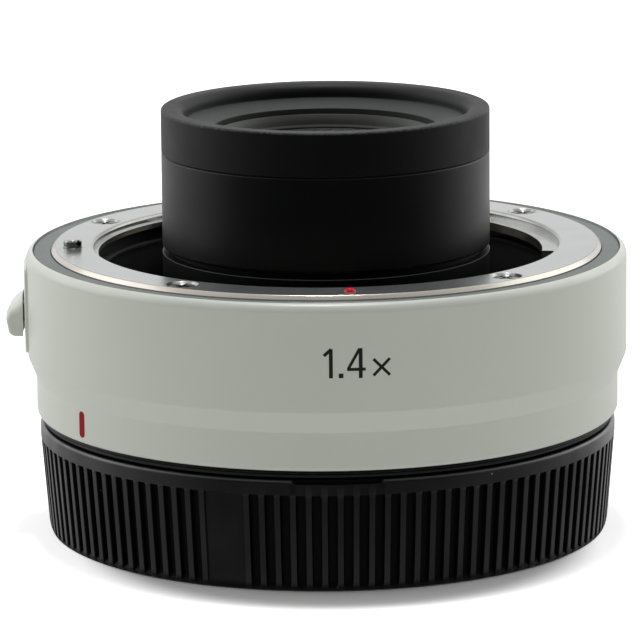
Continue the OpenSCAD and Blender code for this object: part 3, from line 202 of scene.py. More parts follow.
def rounded(corners, steps=6):
    """Outline whose corners (x, y, radius) become arcs.

    An arc's centre lies on the corner's bisector, at radius / sin(half the corner's angle), and its
    points turn evenly from one tangent point to the other. Returns the points and, for each, an
    edge value that rises as a half sine wave from 0 at an arc's ends to 1 at its middle.
    """
    corners = np.asarray(corners, float)
    point, radius = corners[:, :2], corners[:, 2]
    back = np.roll(point, 1, 0) - point
    on = np.roll(point, -1, 0) - point
    back /= np.linalg.norm(back, axis=1)[:, None]
    on /= np.linalg.norm(on, axis=1)[:, None]
    half = 0.5 * np.arccos(np.clip((back * on).sum(1), -1, 1))
    middle = back + on
    middle /= np.maximum(np.linalg.norm(middle, axis=1), 1e-9)[:, None]
    centre = point + middle * (radius / np.sin(half))[:, None]
    first = point + back * (radius / np.tan(half))[:, None] - centre
    last = point + on * (radius / np.tan(half))[:, None] - centre
    turn = (np.pi - 2 * half)[:, None]
    share = np.linspace(0, 1, steps + 1)[None, :]
    whole = np.maximum(np.sin(turn), 1e-9)
    path = (centre[:, None] + (np.sin((1 - share) * turn) / whole)[..., None] * first[:, None]
            + (np.sin(share * turn) / whole)[..., None] * last[:, None])
    path = np.where(radius[:, None, None] > 0, path, point[:, None]).reshape(-1, 2)
    edge = ((radius > 0)[:, None] * np.sin(np.pi * share)).reshape(-1)
    keep = np.linalg.norm(path - np.roll(path, 1, 0), axis=1) > 1e-5
    return path[keep], edge[keep]


def skin(loops, ring, edge=None):
    """Quads between neighbouring closed loops of points; a ring joins the last loop to the first,
    and an open run is closed by a face at each end. Returns points, faces and edge values."""
    steps, count = loops.shape[:2]
    index = np.arange(steps * count).reshape(steps, count)
    side = np.roll(index, -1, 1)
    here, ahead = (index, np.roll(index, -1, 0)) if ring else (index[:-1], index[1:])
    side_here, side_ahead = (side, np.roll(side, -1, 0)) if ring else (side[:-1], side[1:])
    faces = np.stack([here, side_here, side_ahead, ahead], -1).reshape(-1, 4).tolist()
    if not ring:
        faces += [index[0][::-1].tolist(), index[-1].tolist()]
    edge_weight = np.zeros(count) if edge is None else edge
    return loops.reshape(-1, 3), faces, np.tile(edge_weight, steps)


def carried(section, angles):
    """Section carried round the axis: (r, z) at angle t goes to (r sin t, -r cos t, z)."""
    t = np.radians(angles)[:, None]
    r, z = section[None, :, 0], section[None, :, 1]
    return np.stack([r * np.sin(t), -r * np.cos(t), z + 0 * t], -1)


def turned(section, columns=None, edge=None):
    """Surface of revolution of a closed section about the axis."""
    columns = columns or bpy.context.scene.converter_sizes.columns
    angles = np.arange(columns) * 360 / columns
    return skin(carried(section, angles), True, edge)


def turned_round(corners, columns=None, steps=6):
    """Surface of revolution of a section with rounded corners (r, z, radius)."""
    section, edge = rounded(corners, steps)
    return turned(section, columns, edge)


def sector(corners, angle, span, steps=24):
    """Rounded section carried along part of a circle, centred on an angle, with closed ends."""
    section, edge = rounded(corners, 4)
    angles = angle + span * (np.arange(steps + 1) / steps - 0.5)
    return skin(carried(section, angles), False, edge)


def box_section(r_in, r_out, z_low, z_high, radius=0.0):
    """Rectangular section with one corner radius."""
    return [(r_in, z_low, radius), (r_out, z_low, radius), (r_out, z_high, radius),
            (r_in, z_high, radius)]


def place(angle, radius):
    """Point on a circle round the axis."""
    t = math.radians(angle)
    return np.array([radius * math.sin(t), -radius * math.cos(t), 0.0])


def set_out(shape, angle, radius):
    """Shape made about the axis, turned to an angle and moved out to a radius."""
    points, faces, edge = shape
    c, s = math.cos(math.radians(angle)), math.sin(math.radians(angle))
    turn = np.array([[c, -s, 0], [s, c, 0], [0, 0, 1]])
    return points @ turn.T + place(angle, radius), faces, edge


def panel(width, height, corner, r_in, r_out, z_low, angle, columns=20, steps=6):
    """Curved panel between two cylinders: across u in [-1, 1] and up v, the point at height z and
    sideways y = u * halfwidth(z) lies at x = sqrt(r^2 - y^2), where halfwidth is drawn in by
    corner - sqrt(corner^2 - d^2) within a corner's reach d of either end."""
    bow = corner * (1 - np.cos(np.linspace(0, np.pi / 2, steps + 1)))
    z = np.concatenate([bow, np.linspace(corner, height - corner, 6)[1:-1], height - bow[::-1]])
    d = np.maximum(np.maximum(corner - z, z - (height - corner)), 0)
    half = width / 2 - (corner - np.sqrt(np.maximum(corner ** 2 - d ** 2, 0)))
    y = half[:, None] * np.linspace(-1, 1, columns + 1)[None, :]
    sheets = [np.stack([np.sqrt(r ** 2 - y ** 2), y, z_low + z[:, None] + 0 * y], -1)
              for r in (r_in, r_out)]
    return set_out(slab(*sheets), angle - 90, 0)


def slab(inner, outer):
    """Closed block between two sheets of points on the same grid."""
    rows, cols = inner.shape[:2]
    count = rows * cols
    index = np.arange(count).reshape(rows, cols)
    quads = np.stack([index[:-1, :-1], index[:-1, 1:], index[1:, 1:], index[1:, :-1]], -1)
    quads = quads.reshape(-1, 4)
    rim = np.concatenate([index[0, :-1], index[:-1, -1], index[-1, :0:-1], index[:0:-1, 0]])
    after = np.roll(rim, -1)
    walls = np.stack([rim, after, after + count, rim + count], -1)
    faces = np.concatenate([quads, quads[:, ::-1] + count, walls]).tolist()
    points = np.concatenate([inner.reshape(-1, 3), outer.reshape(-1, 3)])
    return points, faces, np.zeros(2 * count)


def block(r_in, r_out, width, z_low, z_high, angle):
    """Straight block across the radial direction, as a slab between two flat sheets."""
    y, z = np.meshgrid(np.linspace(-0.5, 0.5, 3) * width, np.linspace(z_low, z_high, 3))
    sheets = [np.stack([r + 0 * y, y, z], -1) for r in (r_in, r_out)]
    return set_out(slab(*sheets), angle - 90, 0)


def stroke(start, end, width, radius, film, z_mid):
    """Printed stroke: a straight ribbon from start to end, wrapped on a cylinder so that a flat
    sideways place s becomes the angle s / radius, between just under the face and the film."""
    start, end = np.asarray(start, float), np.asarray(end, float)
    along = end - start
    across = np.array([-along[1], along[0]]) / np.linalg.norm(along) * width / 2
    u, v = np.meshgrid(np.linspace(0, 1, 13), np.linspace(-1, 1, 4))
    flat = start + u[..., None] * along + v[..., None] * across
    t = flat[..., 0] / radius
    sheets = [np.stack([r * np.sin(t), -r * np.cos(t), z_mid + flat[..., 1]], -1)
              for r in (radius - 0.05, radius + film)]
    return slab(*sheets)


# ---------------------------------------------------------------- pieces

def mesh_of(name, shapes):
    """Mesh of several closed shapes: doubles merged, faces turned outwards, edge values kept."""
    points, faces, edges, first = [], [], [], 0
    for shape_points, shape_faces, shape_edge in shapes:
        points.append(shape_points)
        edges.append(shape_edge)
        faces += [[corner + first for corner in face] for face in shape_faces]
        first += len(shape_points)
    mesh = bpy.data.meshes.new(name)
    mesh.from_pydata(np.concatenate(points) * MM, [], faces)
    edge_weight = mesh.attributes.new("edge", "FLOAT", "POINT")
    edge_weight.data.foreach_set("value", np.concatenate(edges).astype(np.float32))
    work = bmesh.new()
    work.from_mesh(mesh)
    bmesh.ops.remove_doubles(work, verts=work.verts, dist=2e-7)
    bmesh.ops.dissolve_degenerate(work, edges=work.edges, dist=1e-8)
    bmesh.ops.recalc_face_normals(work, faces=work.faces)
    work.to_mesh(mesh)
    work.free()
    return mesh


def combine(target, shapes, operation):
    """Adds shapes to an object, or cuts them out of it, by an exact Boolean that is applied."""
    for number, shape in enumerate(shapes):
        tool = bpy.data.objects.new("tool", mesh_of("tool", shape))
        bpy.context.scene.collection.objects.link(tool)
        step = target.modifiers.new(f"{operation}{number}", "BOOLEAN")
        step.operation, step.solver, step.object = operation, "EXACT", tool
        view = bpy.context.evaluated_depsgraph_get()
        result = bpy.data.meshes.new_from_object(target.evaluated_get(view))
        target.modifiers.clear()
        target.data = result
        bpy.data.objects.remove(tool)


def piece(name, shapes, finish, nodes=(), body="housing", join=(), cut=(), sharp=38, bevel=0.0,
          across=None):
    """Object of the given shapes, dressed, placed on a body, or, when across is given, left in the
    world with its transform baked in, though the bodies and points in across are not used; it stands
    for CAD nodes."""
    made = bpy.data.objects.new(name, mesh_of(name, shapes))
    bpy.context.scene.collection.objects.link(made)
    combine(made, [join] if join else [], "UNION")
    combine(made, [cut] if cut else [], "DIFFERENCE")
    mesh = made.data
    if not mesh.polygons:
        raise RuntimeError(f"{name} came out empty")
    mesh.name = name
    mesh.shade_smooth()
    mesh.set_sharp_from_angle(angle=math.radians(sharp))
    if bevel:
        soft = made.modifiers.new("Soft edges", "BEVEL")
        soft.width, soft.segments = bevel * MM, 3
        soft.limit_method, soft.angle_limit = "ANGLE", math.radians(50)
        soft.harden_normals = True
    even = made.modifiers.new("Even shading", "WEIGHTED_NORMAL")
    even.keep_sharp = True
    mesh.materials.clear()
    mesh.materials.append(finish)
    if across:
        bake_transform(made)
    else:
        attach(made, body)
    if nodes:
        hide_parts(*nodes)
    return made


# ---------------------------------------------------------------- shared effects

def node(tree, kind, inputs=None, **settings):
    """Shader node with its settings, and its inputs set or linked."""
    made = tree.nodes.new("ShaderNode" + kind)
    for name, value in settings.items():
        setattr(made, name, value)
    for socket, value in (inputs or {}).items():
        if isinstance(value, bpy.types.NodeSocket):
            tree.links.new(value, made.inputs[socket])
        else:
            made.inputs[socket].default_value = value
    return made


def group(name, inputs, outputs):
    """Empty node group with named float sockets; returns the tree, its inputs and its end."""
    tree = bpy.data.node_groups.new(name, "ShaderNodeTree")
    for socket, value in inputs.items():
        made = tree.interface.new_socket(name=socket, in_out="INPUT", socket_type="NodeSocketFloat")
        made.default_value = value
    for socket in outputs:
        tree.interface.new_socket(name=socket, in_out="OUTPUT", socket_type="NodeSocketFloat")
    start, end = tree.nodes.new("NodeGroupInput"), tree.nodes.new("NodeGroupOutput")
    return tree, start.outputs, end.inputs


def shared(build):
    """Effect whose node group, named after its function, is built once."""
    def effect():
        name = build.__name__.replace("_", " ")
        if name not in bpy.data.node_groups:
            build(name)
        return bpy.data.node_groups[name]
    return effect


def off_axis(tree, where):
    """Distance of a place from the axis, and its height."""
    flat = node(tree, "VectorMath", {0: where, 1: (1.0, 1.0, 0.0)}, operation="MULTIPLY")
    radius = node(tree, "VectorMath", {0: flat.outputs[0]}, operation="LENGTH").outputs["Value"]
    return radius, node(tree, "SeparateXYZ", {0: where}).outputs["Z"]


@shared
def surface_grain(name):
    """Grain of a sprayed or moulded skin: broad cloudiness as Shade, fine pebbling as Height."""
    tree, given, end = group(name, {"Broad Scale": 60.0, "Fine Scale": 900.0}, ("Shade", "Height"))
    where = node(tree, "TexCoord").outputs["Object"]
    broad = node(tree, "TexNoise", {"Vector": where, "Scale": given["Broad Scale"], "Detail": 3.0})
    fine = node(tree, "TexNoise", {"Vector": where, "Scale": given["Fine Scale"], "Detail": 2.0})
    tree.links.new(broad.outputs["Fac"], end["Shade"])
    tree.links.new(fine.outputs["Fac"], end["Height"])


@shared
def turned_rings(name):
    """Marks of a lathe tool: noise that changes only with the distance from the axis, broken up a
    little by grain, as Shade and Height."""
    tree, given, end = group(name, {"Broad Scale": 900.0, "Fine Scale": 9000.0}, ("Shade", "Height"))
    where = node(tree, "TexCoord").outputs["Object"]
    radius, up = off_axis(tree, where)
    walk = node(tree, "Math", {0: radius, 1: up}, operation="SUBTRACT").outputs[0]
    fine = node(tree, "TexNoise", {"W": walk, "Scale": given["Fine Scale"], "Detail": 2.0},
                noise_dimensions="1D")
    cloud = node(tree, "TexNoise", {"Vector": where, "Scale": given["Broad Scale"], "Detail": 3.0})
    tree.links.new(cloud.outputs["Fac"], end["Shade"])
    tree.links.new(fine.outputs["Fac"], end["Height"])


@shared
def dust_specks(name):
    """Scattered dust: small discs round the points of a Voronoi pattern, kept where the cell's
    random value passes a share, as Mask."""
    tree, given, end = group(name, {"Scale": 700.0, "Radius": 0.12, "Share": 0.06}, ("Mask",))
    where = node(tree, "TexCoord").outputs["Object"]
    cells = node(tree, "TexVoronoi", {"Vector": where, "Scale": given["Scale"]})
    near = node(tree, "Math", {0: cells.outputs["Distance"], 1: given["Radius"]},
                operation="LESS_THAN").outputs[0]
    random = node(tree, "SeparateColor", {0: cells.outputs["Color"]}).outputs[0]
    few = node(tree, "Math", {0: random, 1: given["Share"]}, operation="LESS_THAN").outputs[0]
    both = node(tree, "Math", {0: near, 1: few}, operation="MULTIPLY")
    tree.links.new(both.outputs[0], end["Mask"])


@shared
def edge_rub(name):
    """Tone along rounded edges: the piece's own edge value, broken up by noise, as Mask. Some finishes
    lay edge wear with it, others painted highlight, painted shade or painted reflection along the edge.
    """
    tree, given, end = group(name, {"Scale": 500.0, "Start": 0.35}, ("Mask",))
    edge_weight = node(tree, "Attribute", attribute_name="edge").outputs["Fac"]
    where = node(tree, "TexCoord").outputs["Object"]
    patchy = node(tree, "TexNoise", {"Vector": where, "Scale": given["Scale"], "Detail": 3.0})
    over = node(tree, "MapRange", {0: patchy.outputs["Fac"], 1: given["Start"], 2: 0.75},
                interpolation_type="SMOOTHSTEP")
    both = node(tree, "Math", {0: edge_weight, 1: over.outputs[0]}, operation="MULTIPLY")
    tree.links.new(both.outputs[0], end["Mask"])


@shared
def edge_line(name):
    """Painted light along a turned edge: 1 where both the distance from the axis and the height lie
    within Width of the edge's own, and 0 elsewhere, as Mask. Finishes lay painted highlight hairlines,
    a painted warm reflection and a painted paler band with it."""
    tree, given, end = group(name, {"Radius": 0.0194, "Height": 0.0332, "Width": 0.0001}, ("Mask",))
    where = node(tree, "TexCoord").outputs["Object"]
    radius, up = off_axis(tree, where)
    near = [node(tree, "Math", {0: value, 1: given[place_of], 2: given["Width"]},
                 operation="COMPARE").outputs[0]
            for value, place_of in ((radius, "Radius"), (up, "Height"))]
    both = node(tree, "Math", {0: near[0], 1: near[1]}, operation="MULTIPLY")
    tree.links.new(both.outputs[0], end["Mask"])


@shared
def copper_traces(name):
    """Circuit lines: thin bright steps of a brick pattern over the flat of a board, as Mask."""
    tree, given, end = group(name, {"Scale": 500.0}, ("Mask",))
    where = node(tree, "TexCoord").outputs["Object"]
    lines = node(tree, "TexBrick", {"Vector": where, "Scale": given["Scale"], "Mortar Size": 0.04,
                                    "Color1": (0, 0, 0, 1), "Color2": (0, 0, 0, 1),
                                    "Mortar": (1, 1, 1, 1)})
    tree.links.new(lines.outputs["Color"], end["Mask"])


# ---------------------------------------------------------------- finishes

def shade_of(value, share):
    """A colour made darker or lighter by a share, as four numbers."""
    return tuple(min(1.0, channel * share) for channel in value) + (1.0,)


def finish(name, base, tones=(0.9, 1.06), rough=(0.35, 0.45), effect=surface_grain,
           scales=(60.0, 900.0), bump=(0.1, 0.00005), specks=None, rub=None, line=None, traces=None,
           coat=None, **sockets):
    """Material built once: the effect's Shade mixes two tones of the base and sets the roughness,
    its Height feeds a bump, circuit lines, dust, an edge tone (edge wear on some finishes, painted
    light on others) and a band of painted light lie over the colour, a coat may follow the edge
    mask, and every plain number is set on the shader itself."""
    title = f"{name} finish"
    if title in bpy.data.materials:
        return bpy.data.materials[title]
    material = bpy.data.materials.new(title)
    material.use_nodes = True
    tree = material.node_tree
    shader = tree.nodes["Principled BSDF"]
    for socket, value in sockets.items():
        shader.inputs[socket.replace("_", " ")].default_value = value
    skin_node = node(tree, "Group", node_tree=effect())
    skin_node.inputs["Broad Scale"].default_value, skin_node.inputs["Fine Scale"].default_value = scales
    shade = skin_node.outputs["Shade"]
    tint = node(tree, "Mix", {"Factor": shade, 6: shade_of(base, tones[0]),
                              7: shade_of(base, tones[1])}, data_type="RGBA").outputs[2]
    gloss = node(tree, "MapRange", {0: shade, 1: 0.3, 2: 0.7, 3: rough[0], 4: rough[1]}).outputs[0]
    # Over the colour: circuit lines, the edge tone (edge wear on some finishes, painted highlight, shade and
    # reflection on others), the painted light band and dust.
    for over, settings in ((copper_traces, traces), (edge_rub, rub), (edge_line, line),
                           (dust_specks, specks)):
        if settings:
            tone, values = settings
            mask = group_mask(tree, over, values)
            tint = node(tree, "Mix", {"Factor": mask, 6: tint, 7: tone + (1.0,)},
                        data_type="RGBA").outputs[2]
    tree.links.new(tint, shader.inputs["Base Color"])
    tree.links.new(gloss, shader.inputs["Roughness"])
    if coat:
        tree.links.new(group_mask(tree, edge_rub, coat), shader.inputs["Coat Weight"])
    relief = node(tree, "Bump", {"Height": skin_node.outputs["Height"], "Strength": bump[0],
                                 "Distance": bump[1]})
    tree.links.new(relief.outputs["Normal"], shader.inputs["Normal"])
    return material


def group_mask(tree, effect, values):
    """Mask of an effect placed in a material with its own values."""
    made = node(tree, "Group", node_tree=effect())
    for socket, value in values.items():
        made.inputs[socket].default_value = value
    return made.outputs["Mask"]


def colours():
    """Colours from the sidebar as plain tuples."""
    group_of = bpy.context.scene.converter_colours
    return {name: tuple(getattr(group_of, name)) for name in ConverterColours.__annotations__}


def white_paint():
    """Satin off-white paint with a faint orange peel and a little dust; a slightly darker painted shade on
    the rim's rounded edge dims its highlight.
    """
    return finish("white_paint", colours()["paint"], (0.965, 1.03), (0.33, 0.41), surface_grain,
                  (38.0, 1500.0), (0.05, 0.00004), Coat_Weight=0.12, Coat_Roughness=0.25,
                  # Edge tone: painted shade on the rim's rounded edge, toning down its highlight.
                  rub=((0.70, 0.72, 0.66), {"Scale": 200.0, "Start": 0.1}),
                  specks=((0.30, 0.30, 0.26), {"Scale": 320.0, "Radius": 0.05, "Share": 0.05}))


def grey_trim():
    """Satin grey of the front trim ring, with faint turning marks."""
    return finish("grey_trim", colours()["trim"], (0.94, 1.05), (0.48, 0.58), turned_rings,
                  (300.0, 9000.0), (0.06, 0.00003),
                  rub=((0.30, 0.32, 0.31), {"Scale": 600.0, "Start": 0.5}))


def plating():
    """Bright plating over turned metal, with painted reflection at the edges: a darker warm tone along the
    rounded edges dims and warms their glint, and a lighter warm band over the front mount's outer bevel
    stands in for the warm reflection there.
    """
    return finish("bright_mount", colours()["plating"], (0.95, 1.04), (0.19, 0.26), turned_rings,
                  (220.0, 12000.0), (0.04, 0.00003), Metallic=0.78,
                  # Painted reflection: the edge tone darkens and warms the glint on the rounded edges, and
                  # the line mask lays a warm band over the outer bevel.
                  rub=((0.31, 0.285, 0.245), {"Scale": 300.0, "Start": 0.05}),
                  line=((0.60, 0.56, 0.50), {"Radius": reach("front_mount") * MM - 0.00022,
                                             "Height": high("front_mount") * MM - 0.00026,
                                             "Width": 0.00023}),
                  specks=((0.25, 0.23, 0.20), {"Scale": 600.0, "Radius": 0.06, "Share": 0.05}))


def steel(name, tones, rough, bump=(0.08, 0.00003), metallic=1.0):
    """Steel with a fine grain."""
    return finish(name, colours()["steel"], tones, rough, surface_grain, (400.0, 4000.0), bump,
                  Metallic=metallic)


def bare_steel():
    """Plain steel of the springs, the cell screws, the slide plate and its post."""
    return steel("steel", (0.85, 1.1), (0.20, 0.34))


def polished_steel():
    """Polished steel of the lock pin."""
    return steel("polished_steel", (0.5, 0.62), (0.07, 0.13), (0.03, 0.00002))


def screw_steel():
    """Darker plated steel of the mount screws."""
    return steel("screw_steel", (0.2, 0.32), (0.24, 0.36), metallic=0.9)


def spring_steel():
    """Blackened spring steel."""
    return finish("black_steel", (0.035, 0.035, 0.036), (0.8, 1.3), (0.35, 0.5), surface_grain,
                  (300.0, 4000.0), (0.08, 0.00003), Metallic=0.6,
                  rub=((0.25, 0.25, 0.25), {"Scale": 500.0, "Start": 0.5}))


def tube_black():
    """Satin black anodising of the lens tube, with dust."""
    return finish("black_metal", colours()["tube"], (0.8, 1.25), (0.34, 0.44), surface_grain,
                  (90.0, 6000.0), (0.10, 0.00003), Specular_IOR_Level=0.3,
                  rub=((0.030, 0.031, 0.030), {"Scale": 700.0, "Start": 0.45}),
                  specks=((0.22, 0.23, 0.22), {"Scale": 420.0, "Radius": 0.045, "Share": 0.035}))


def front_ring_black():
    """Flatter black of the front ring, blasted a little rough: a lighter broken-up tone along the rim's
    outer edge is partly wear and partly a painted highlight, and a paler band on the sloping hood is painted
    light that the hood catches from above.
    """
    return finish("front_ring_black", colours()["tube"], (0.9, 1.5), (0.50, 0.60), surface_grain,
                  (160.0, 5000.0), (0.30, 0.00005), Specular_IOR_Level=0.3,
                  # Edge tone: partly wear, partly painted highlight on the rim's outer edge; the line mask
                  # paints the hood's paler band of light.
                  rub=((0.045, 0.047, 0.046), {"Scale": 2500.0, "Start": 0.3}),
                  line=((0.034, 0.036, 0.036), {"Radius": 0.01485, "Width": 0.00165,
                                                "Height": high("front_ring") * MM - 0.0032}),
                  specks=((0.20, 0.20, 0.19), {"Scale": 520.0, "Radius": 0.045, "Share": 0.03}))


def collar_black():
    """Black of the chassis, with a painted highlight: a bright hairline on the collar's edge at the foot of
    the tube.
    """
    return finish("collar_black", colours()["tube"], (0.6, 1.0), (0.45, 0.55), surface_grain,
                  (90.0, 6000.0), (0.05, 0.00003), Specular_IOR_Level=0.15,
                  # Painted highlight hairline on the collar's edge.
                  line=((0.20, 0.20, 0.20), {"Radius": mm("tube_radius") * MM,
                                             "Height": high("front_mount") * MM - 0.00085,
                                             "Width": 0.00007}))


def grooved_black(name, base, tones):
    """Flat black with fine turned grooves and dust."""
    return finish(name, base, tones, (0.46, 0.58), turned_rings, (200.0, 7000.0), (0.25, 0.00006),
                  specks=((0.20, 0.20, 0.19), {"Scale": 520.0, "Radius": 0.05, "Share": 0.03}))


def ring_black():
    """Black of the cells and the inner keeper rings."""
    return grooved_black("hood_black", colours()["tube"], (0.9, 1.4))


def keeper_black():
    """Faded black of the front keeper ring."""
    return grooved_black("keeper_black", (0.034, 0.034, 0.029), (0.85, 1.2))


def throat_black():
    """Flat black lining of the throat and the light baffles."""
    return finish("throat_black", colours()["throat"], (0.7, 1.3), (0.62, 0.75), surface_grain,
                  (120.0, 3000.0), (0.2, 0.00005))


def moulded_black():
    """Matte moulded plastic of the contact blocks."""
    return finish("black_plastic", colours()["throat"], (1.2, 2.2), (0.5, 0.62), surface_grain,
                  (160.0, 3500.0), (0.2, 0.00005))


def cap_plastic():
    """Moulded black plastic of the cap: fine spark texture and dust. The edge value drives a glossy coat and
    a barely lighter edge tone, partly wear and partly painted sheen, and a painted highlight line runs along
    the lip.
    """
    return finish("cap_plastic", colours()["cap"], (0.7, 1.2), (0.42, 0.52), surface_grain,
                  (70.0, 3200.0), (0.14, 0.00005), Specular_IOR_Level=0.10, Coat_Roughness=0.28,
                  Coat_IOR=1.6, coat={"Scale": 120.0, "Start": -0.2},
                  # Edge tone barely lighter than the base: partly wear, partly painted sheen; the line mask
                  # paints a highlight line along the lip.
                  rub=((0.0050, 0.0054, 0.0056), {"Scale": 500.0, "Start": 0.1}),
                  line=((0.050, 0.050, 0.048), {"Radius": reach("rear_cap") * MM - 0.00012,
                                                "Height": high("rear_cap") * MM - 0.00012,
                                                "Width": 0.00014}),
                  specks=((0.16, 0.16, 0.155), {"Scale": 500.0, "Radius": 0.06, "Share": 0.06}))


def red_mark():
    """Red paint fill of the index marks."""
    return finish("red_paint", colours()["mark"], (0.8, 1.15), (0.28, 0.4), surface_grain,
                  (600.0, 3500.0), (0.15, 0.00004), Specular_IOR_Level=0.08)


def red_bead():
    """Glossy red of the raised index dot."""
    return finish("red_bead", colours()["mark"], (1.6, 1.9), (0.15, 0.22), surface_grain,
                  (600.0, 3500.0), (0.05, 0.00003), Specular_IOR_Level=0.25)


def figure_paint():
    """Dark grey print of the figures."""
    return finish("figure_paint", colours()["figure"], (0.8, 1.3), (0.4, 0.5), surface_grain,
                  (700.0, 4000.0), (0.15, 0.00003))


def contact_gold():
    """Gold plating of the contacts."""
    return finish("gold_contact", colours()["gold"], (0.85, 1.1), (0.18, 0.3), surface_grain,
                  (500.0, 5000.0), (0.06, 0.00003), Metallic=1.0)


def coated_glass():
    """Coated optical glass."""
    return finish("coated_glass", colours()["glass"], (0.97, 1.02), (0.0, 0.02), surface_grain,
                  (40.0, 900.0), (0.002, 0.00001), Transmission_Weight=1.0, IOR=1.6)


def board_green():
    """Green circuit board with copper lines under its mask."""
    return finish("board_green", colours()["board"], (0.85, 1.2), (0.3, 0.42), surface_grain,
                  (300.0, 3000.0), (0.1, 0.00003),
                  traces=((0.10, 0.22, 0.07), {"Scale": 420.0}))


def flex_amber():
    """Amber film of the flex cable with its conductors."""
    return finish("flex_amber", colours()["flex"], (0.9, 1.1), (0.25, 0.35), surface_grain,
                  (300.0, 3000.0), (0.08, 0.00003),
                  traces=((0.55, 0.30, 0.10), {"Scale": 700.0}))


def seal_rubber():
    """Soft black rubber of the rear seal."""
    return finish("seal_rubber", colours()["rubber"], (0.85, 1.25), (0.6, 0.72), surface_grain,
                  (200.0, 2600.0), (0.2, 0.00006))


# ---------------------------------------------------------------- operators

def slider_way(radius):
    """Cutter for the window that the slider's stem runs in."""
    foot = low("release_slider")
    return block(radius - 2.5, radius + 3, 5.4, foot - 0.3, foot + 3.7, SLIDER_ANGLE)


class TELECONVERTER_OT_barrel(bpy.types.Operator):
    """Painted barrel shell: rounded rim, cone, lower band and the guide plate's pocket"""
    bl_idname = "teleconverter.barrel"
    bl_label = "Barrel"

    def execute(self, context):
        radius, foot = mm("barrel_radius"), low("outer_barrel")
        band_r, wall = radius - mm("band_step"), 1.1
        band_z = foot + mm("band_height")
        cone_z = band_z + mm("cone_height")
        rim_r, rim_z, turn = reach("front_trim_ring") + 0.1, high("outer_barrel"), mm("rim_round")
        seat = low("front_trim_ring") - 0.2
        lean = math.acos((rim_r - (radius - turn)) / turn)
        corner_z = rim_z - (radius - rim_r) / math.tan(lean)
        shell = turned_round([
            (band_r - wall, foot, 0.1), (band_r, foot, 0.5), (band_r, band_z, 0.5),
            (radius, cone_z, 0.7), (radius, corner_z, turn * 0.995), (rim_r, rim_z, 0.0),
            (rim_r, seat, 0.0), (radius - wall, seat, 0.0), (radius - wall, cone_z, 0.0),
            (band_r - wall, band_z, 0.0)], steps=10)
        # Edge values kept only near the rim, where the paint's edge tone lays the painted shade on the
        # rounded edge.
        shell = (shell[0], shell[1], shell[2] * (shell[0][:, 2] > rim_z - 1.5))
        z_plate = low("slider_guide_plate")
        plate_h = high("slider_guide_plate") - z_plate
        pocket = panel(14.05, plate_h + 0.43, 1.0, radius - 0.6, radius + 2, z_plate - 0.02, SLIDER_ANGLE)
        piece("barrel_shell", [shell], white_paint(), ["outer_barrel"],
              cut=[pocket, slider_way(radius)], sharp=32)
        return {"FINISHED"}


class TELECONVERTER_OT_barrel_marks(bpy.types.Operator):
    """Printed power figures and the red index line on the barrel"""
    bl_idname = "teleconverter.barrel_marks"
    bl_label = "Barrel marks"

    def execute(self, context):
        radius, film, pen = mm("barrel_radius"), mm("paint_film"), mm("figure_stroke")
        strokes = (((-2.70, 1.70), (-2.70, -1.63), 1.1), ((-3.48, 0.93), (-2.64, 1.68), 0.95),
                   ((-1.82, -1.37), (-1.30, -1.37), 1.35),
                   ((0.64, 1.75), (0.64, -1.66), 1.1), ((0.53, 1.70), (-0.77, -0.62), 0.85),
                   ((-0.89, -0.66), (1.20, -0.66), 0.9),
                   ((2.08, 0.45), (3.95, -1.43), 0.85), ((2.08, -1.43), (3.95, 0.47), 0.85))
        shapes = [stroke(a, b, pen * share, radius, film, FIGURE_HEIGHT) for a, b, share in strokes]
        piece("power_figures", shapes, figure_paint())
        band_r = radius - mm("band_step")
        z_low = low("barrel_index_mark")
        tall = high("barrel_index_mark") - z_low + 0.1
        line = panel(1.1, tall, 0.5, band_r - 0.2, band_r + film, z_low, INDEX_ANGLE, 8)
        piece("index_line", [line], red_mark(), ["barrel_index_mark"])
        return {"FINISHED"}


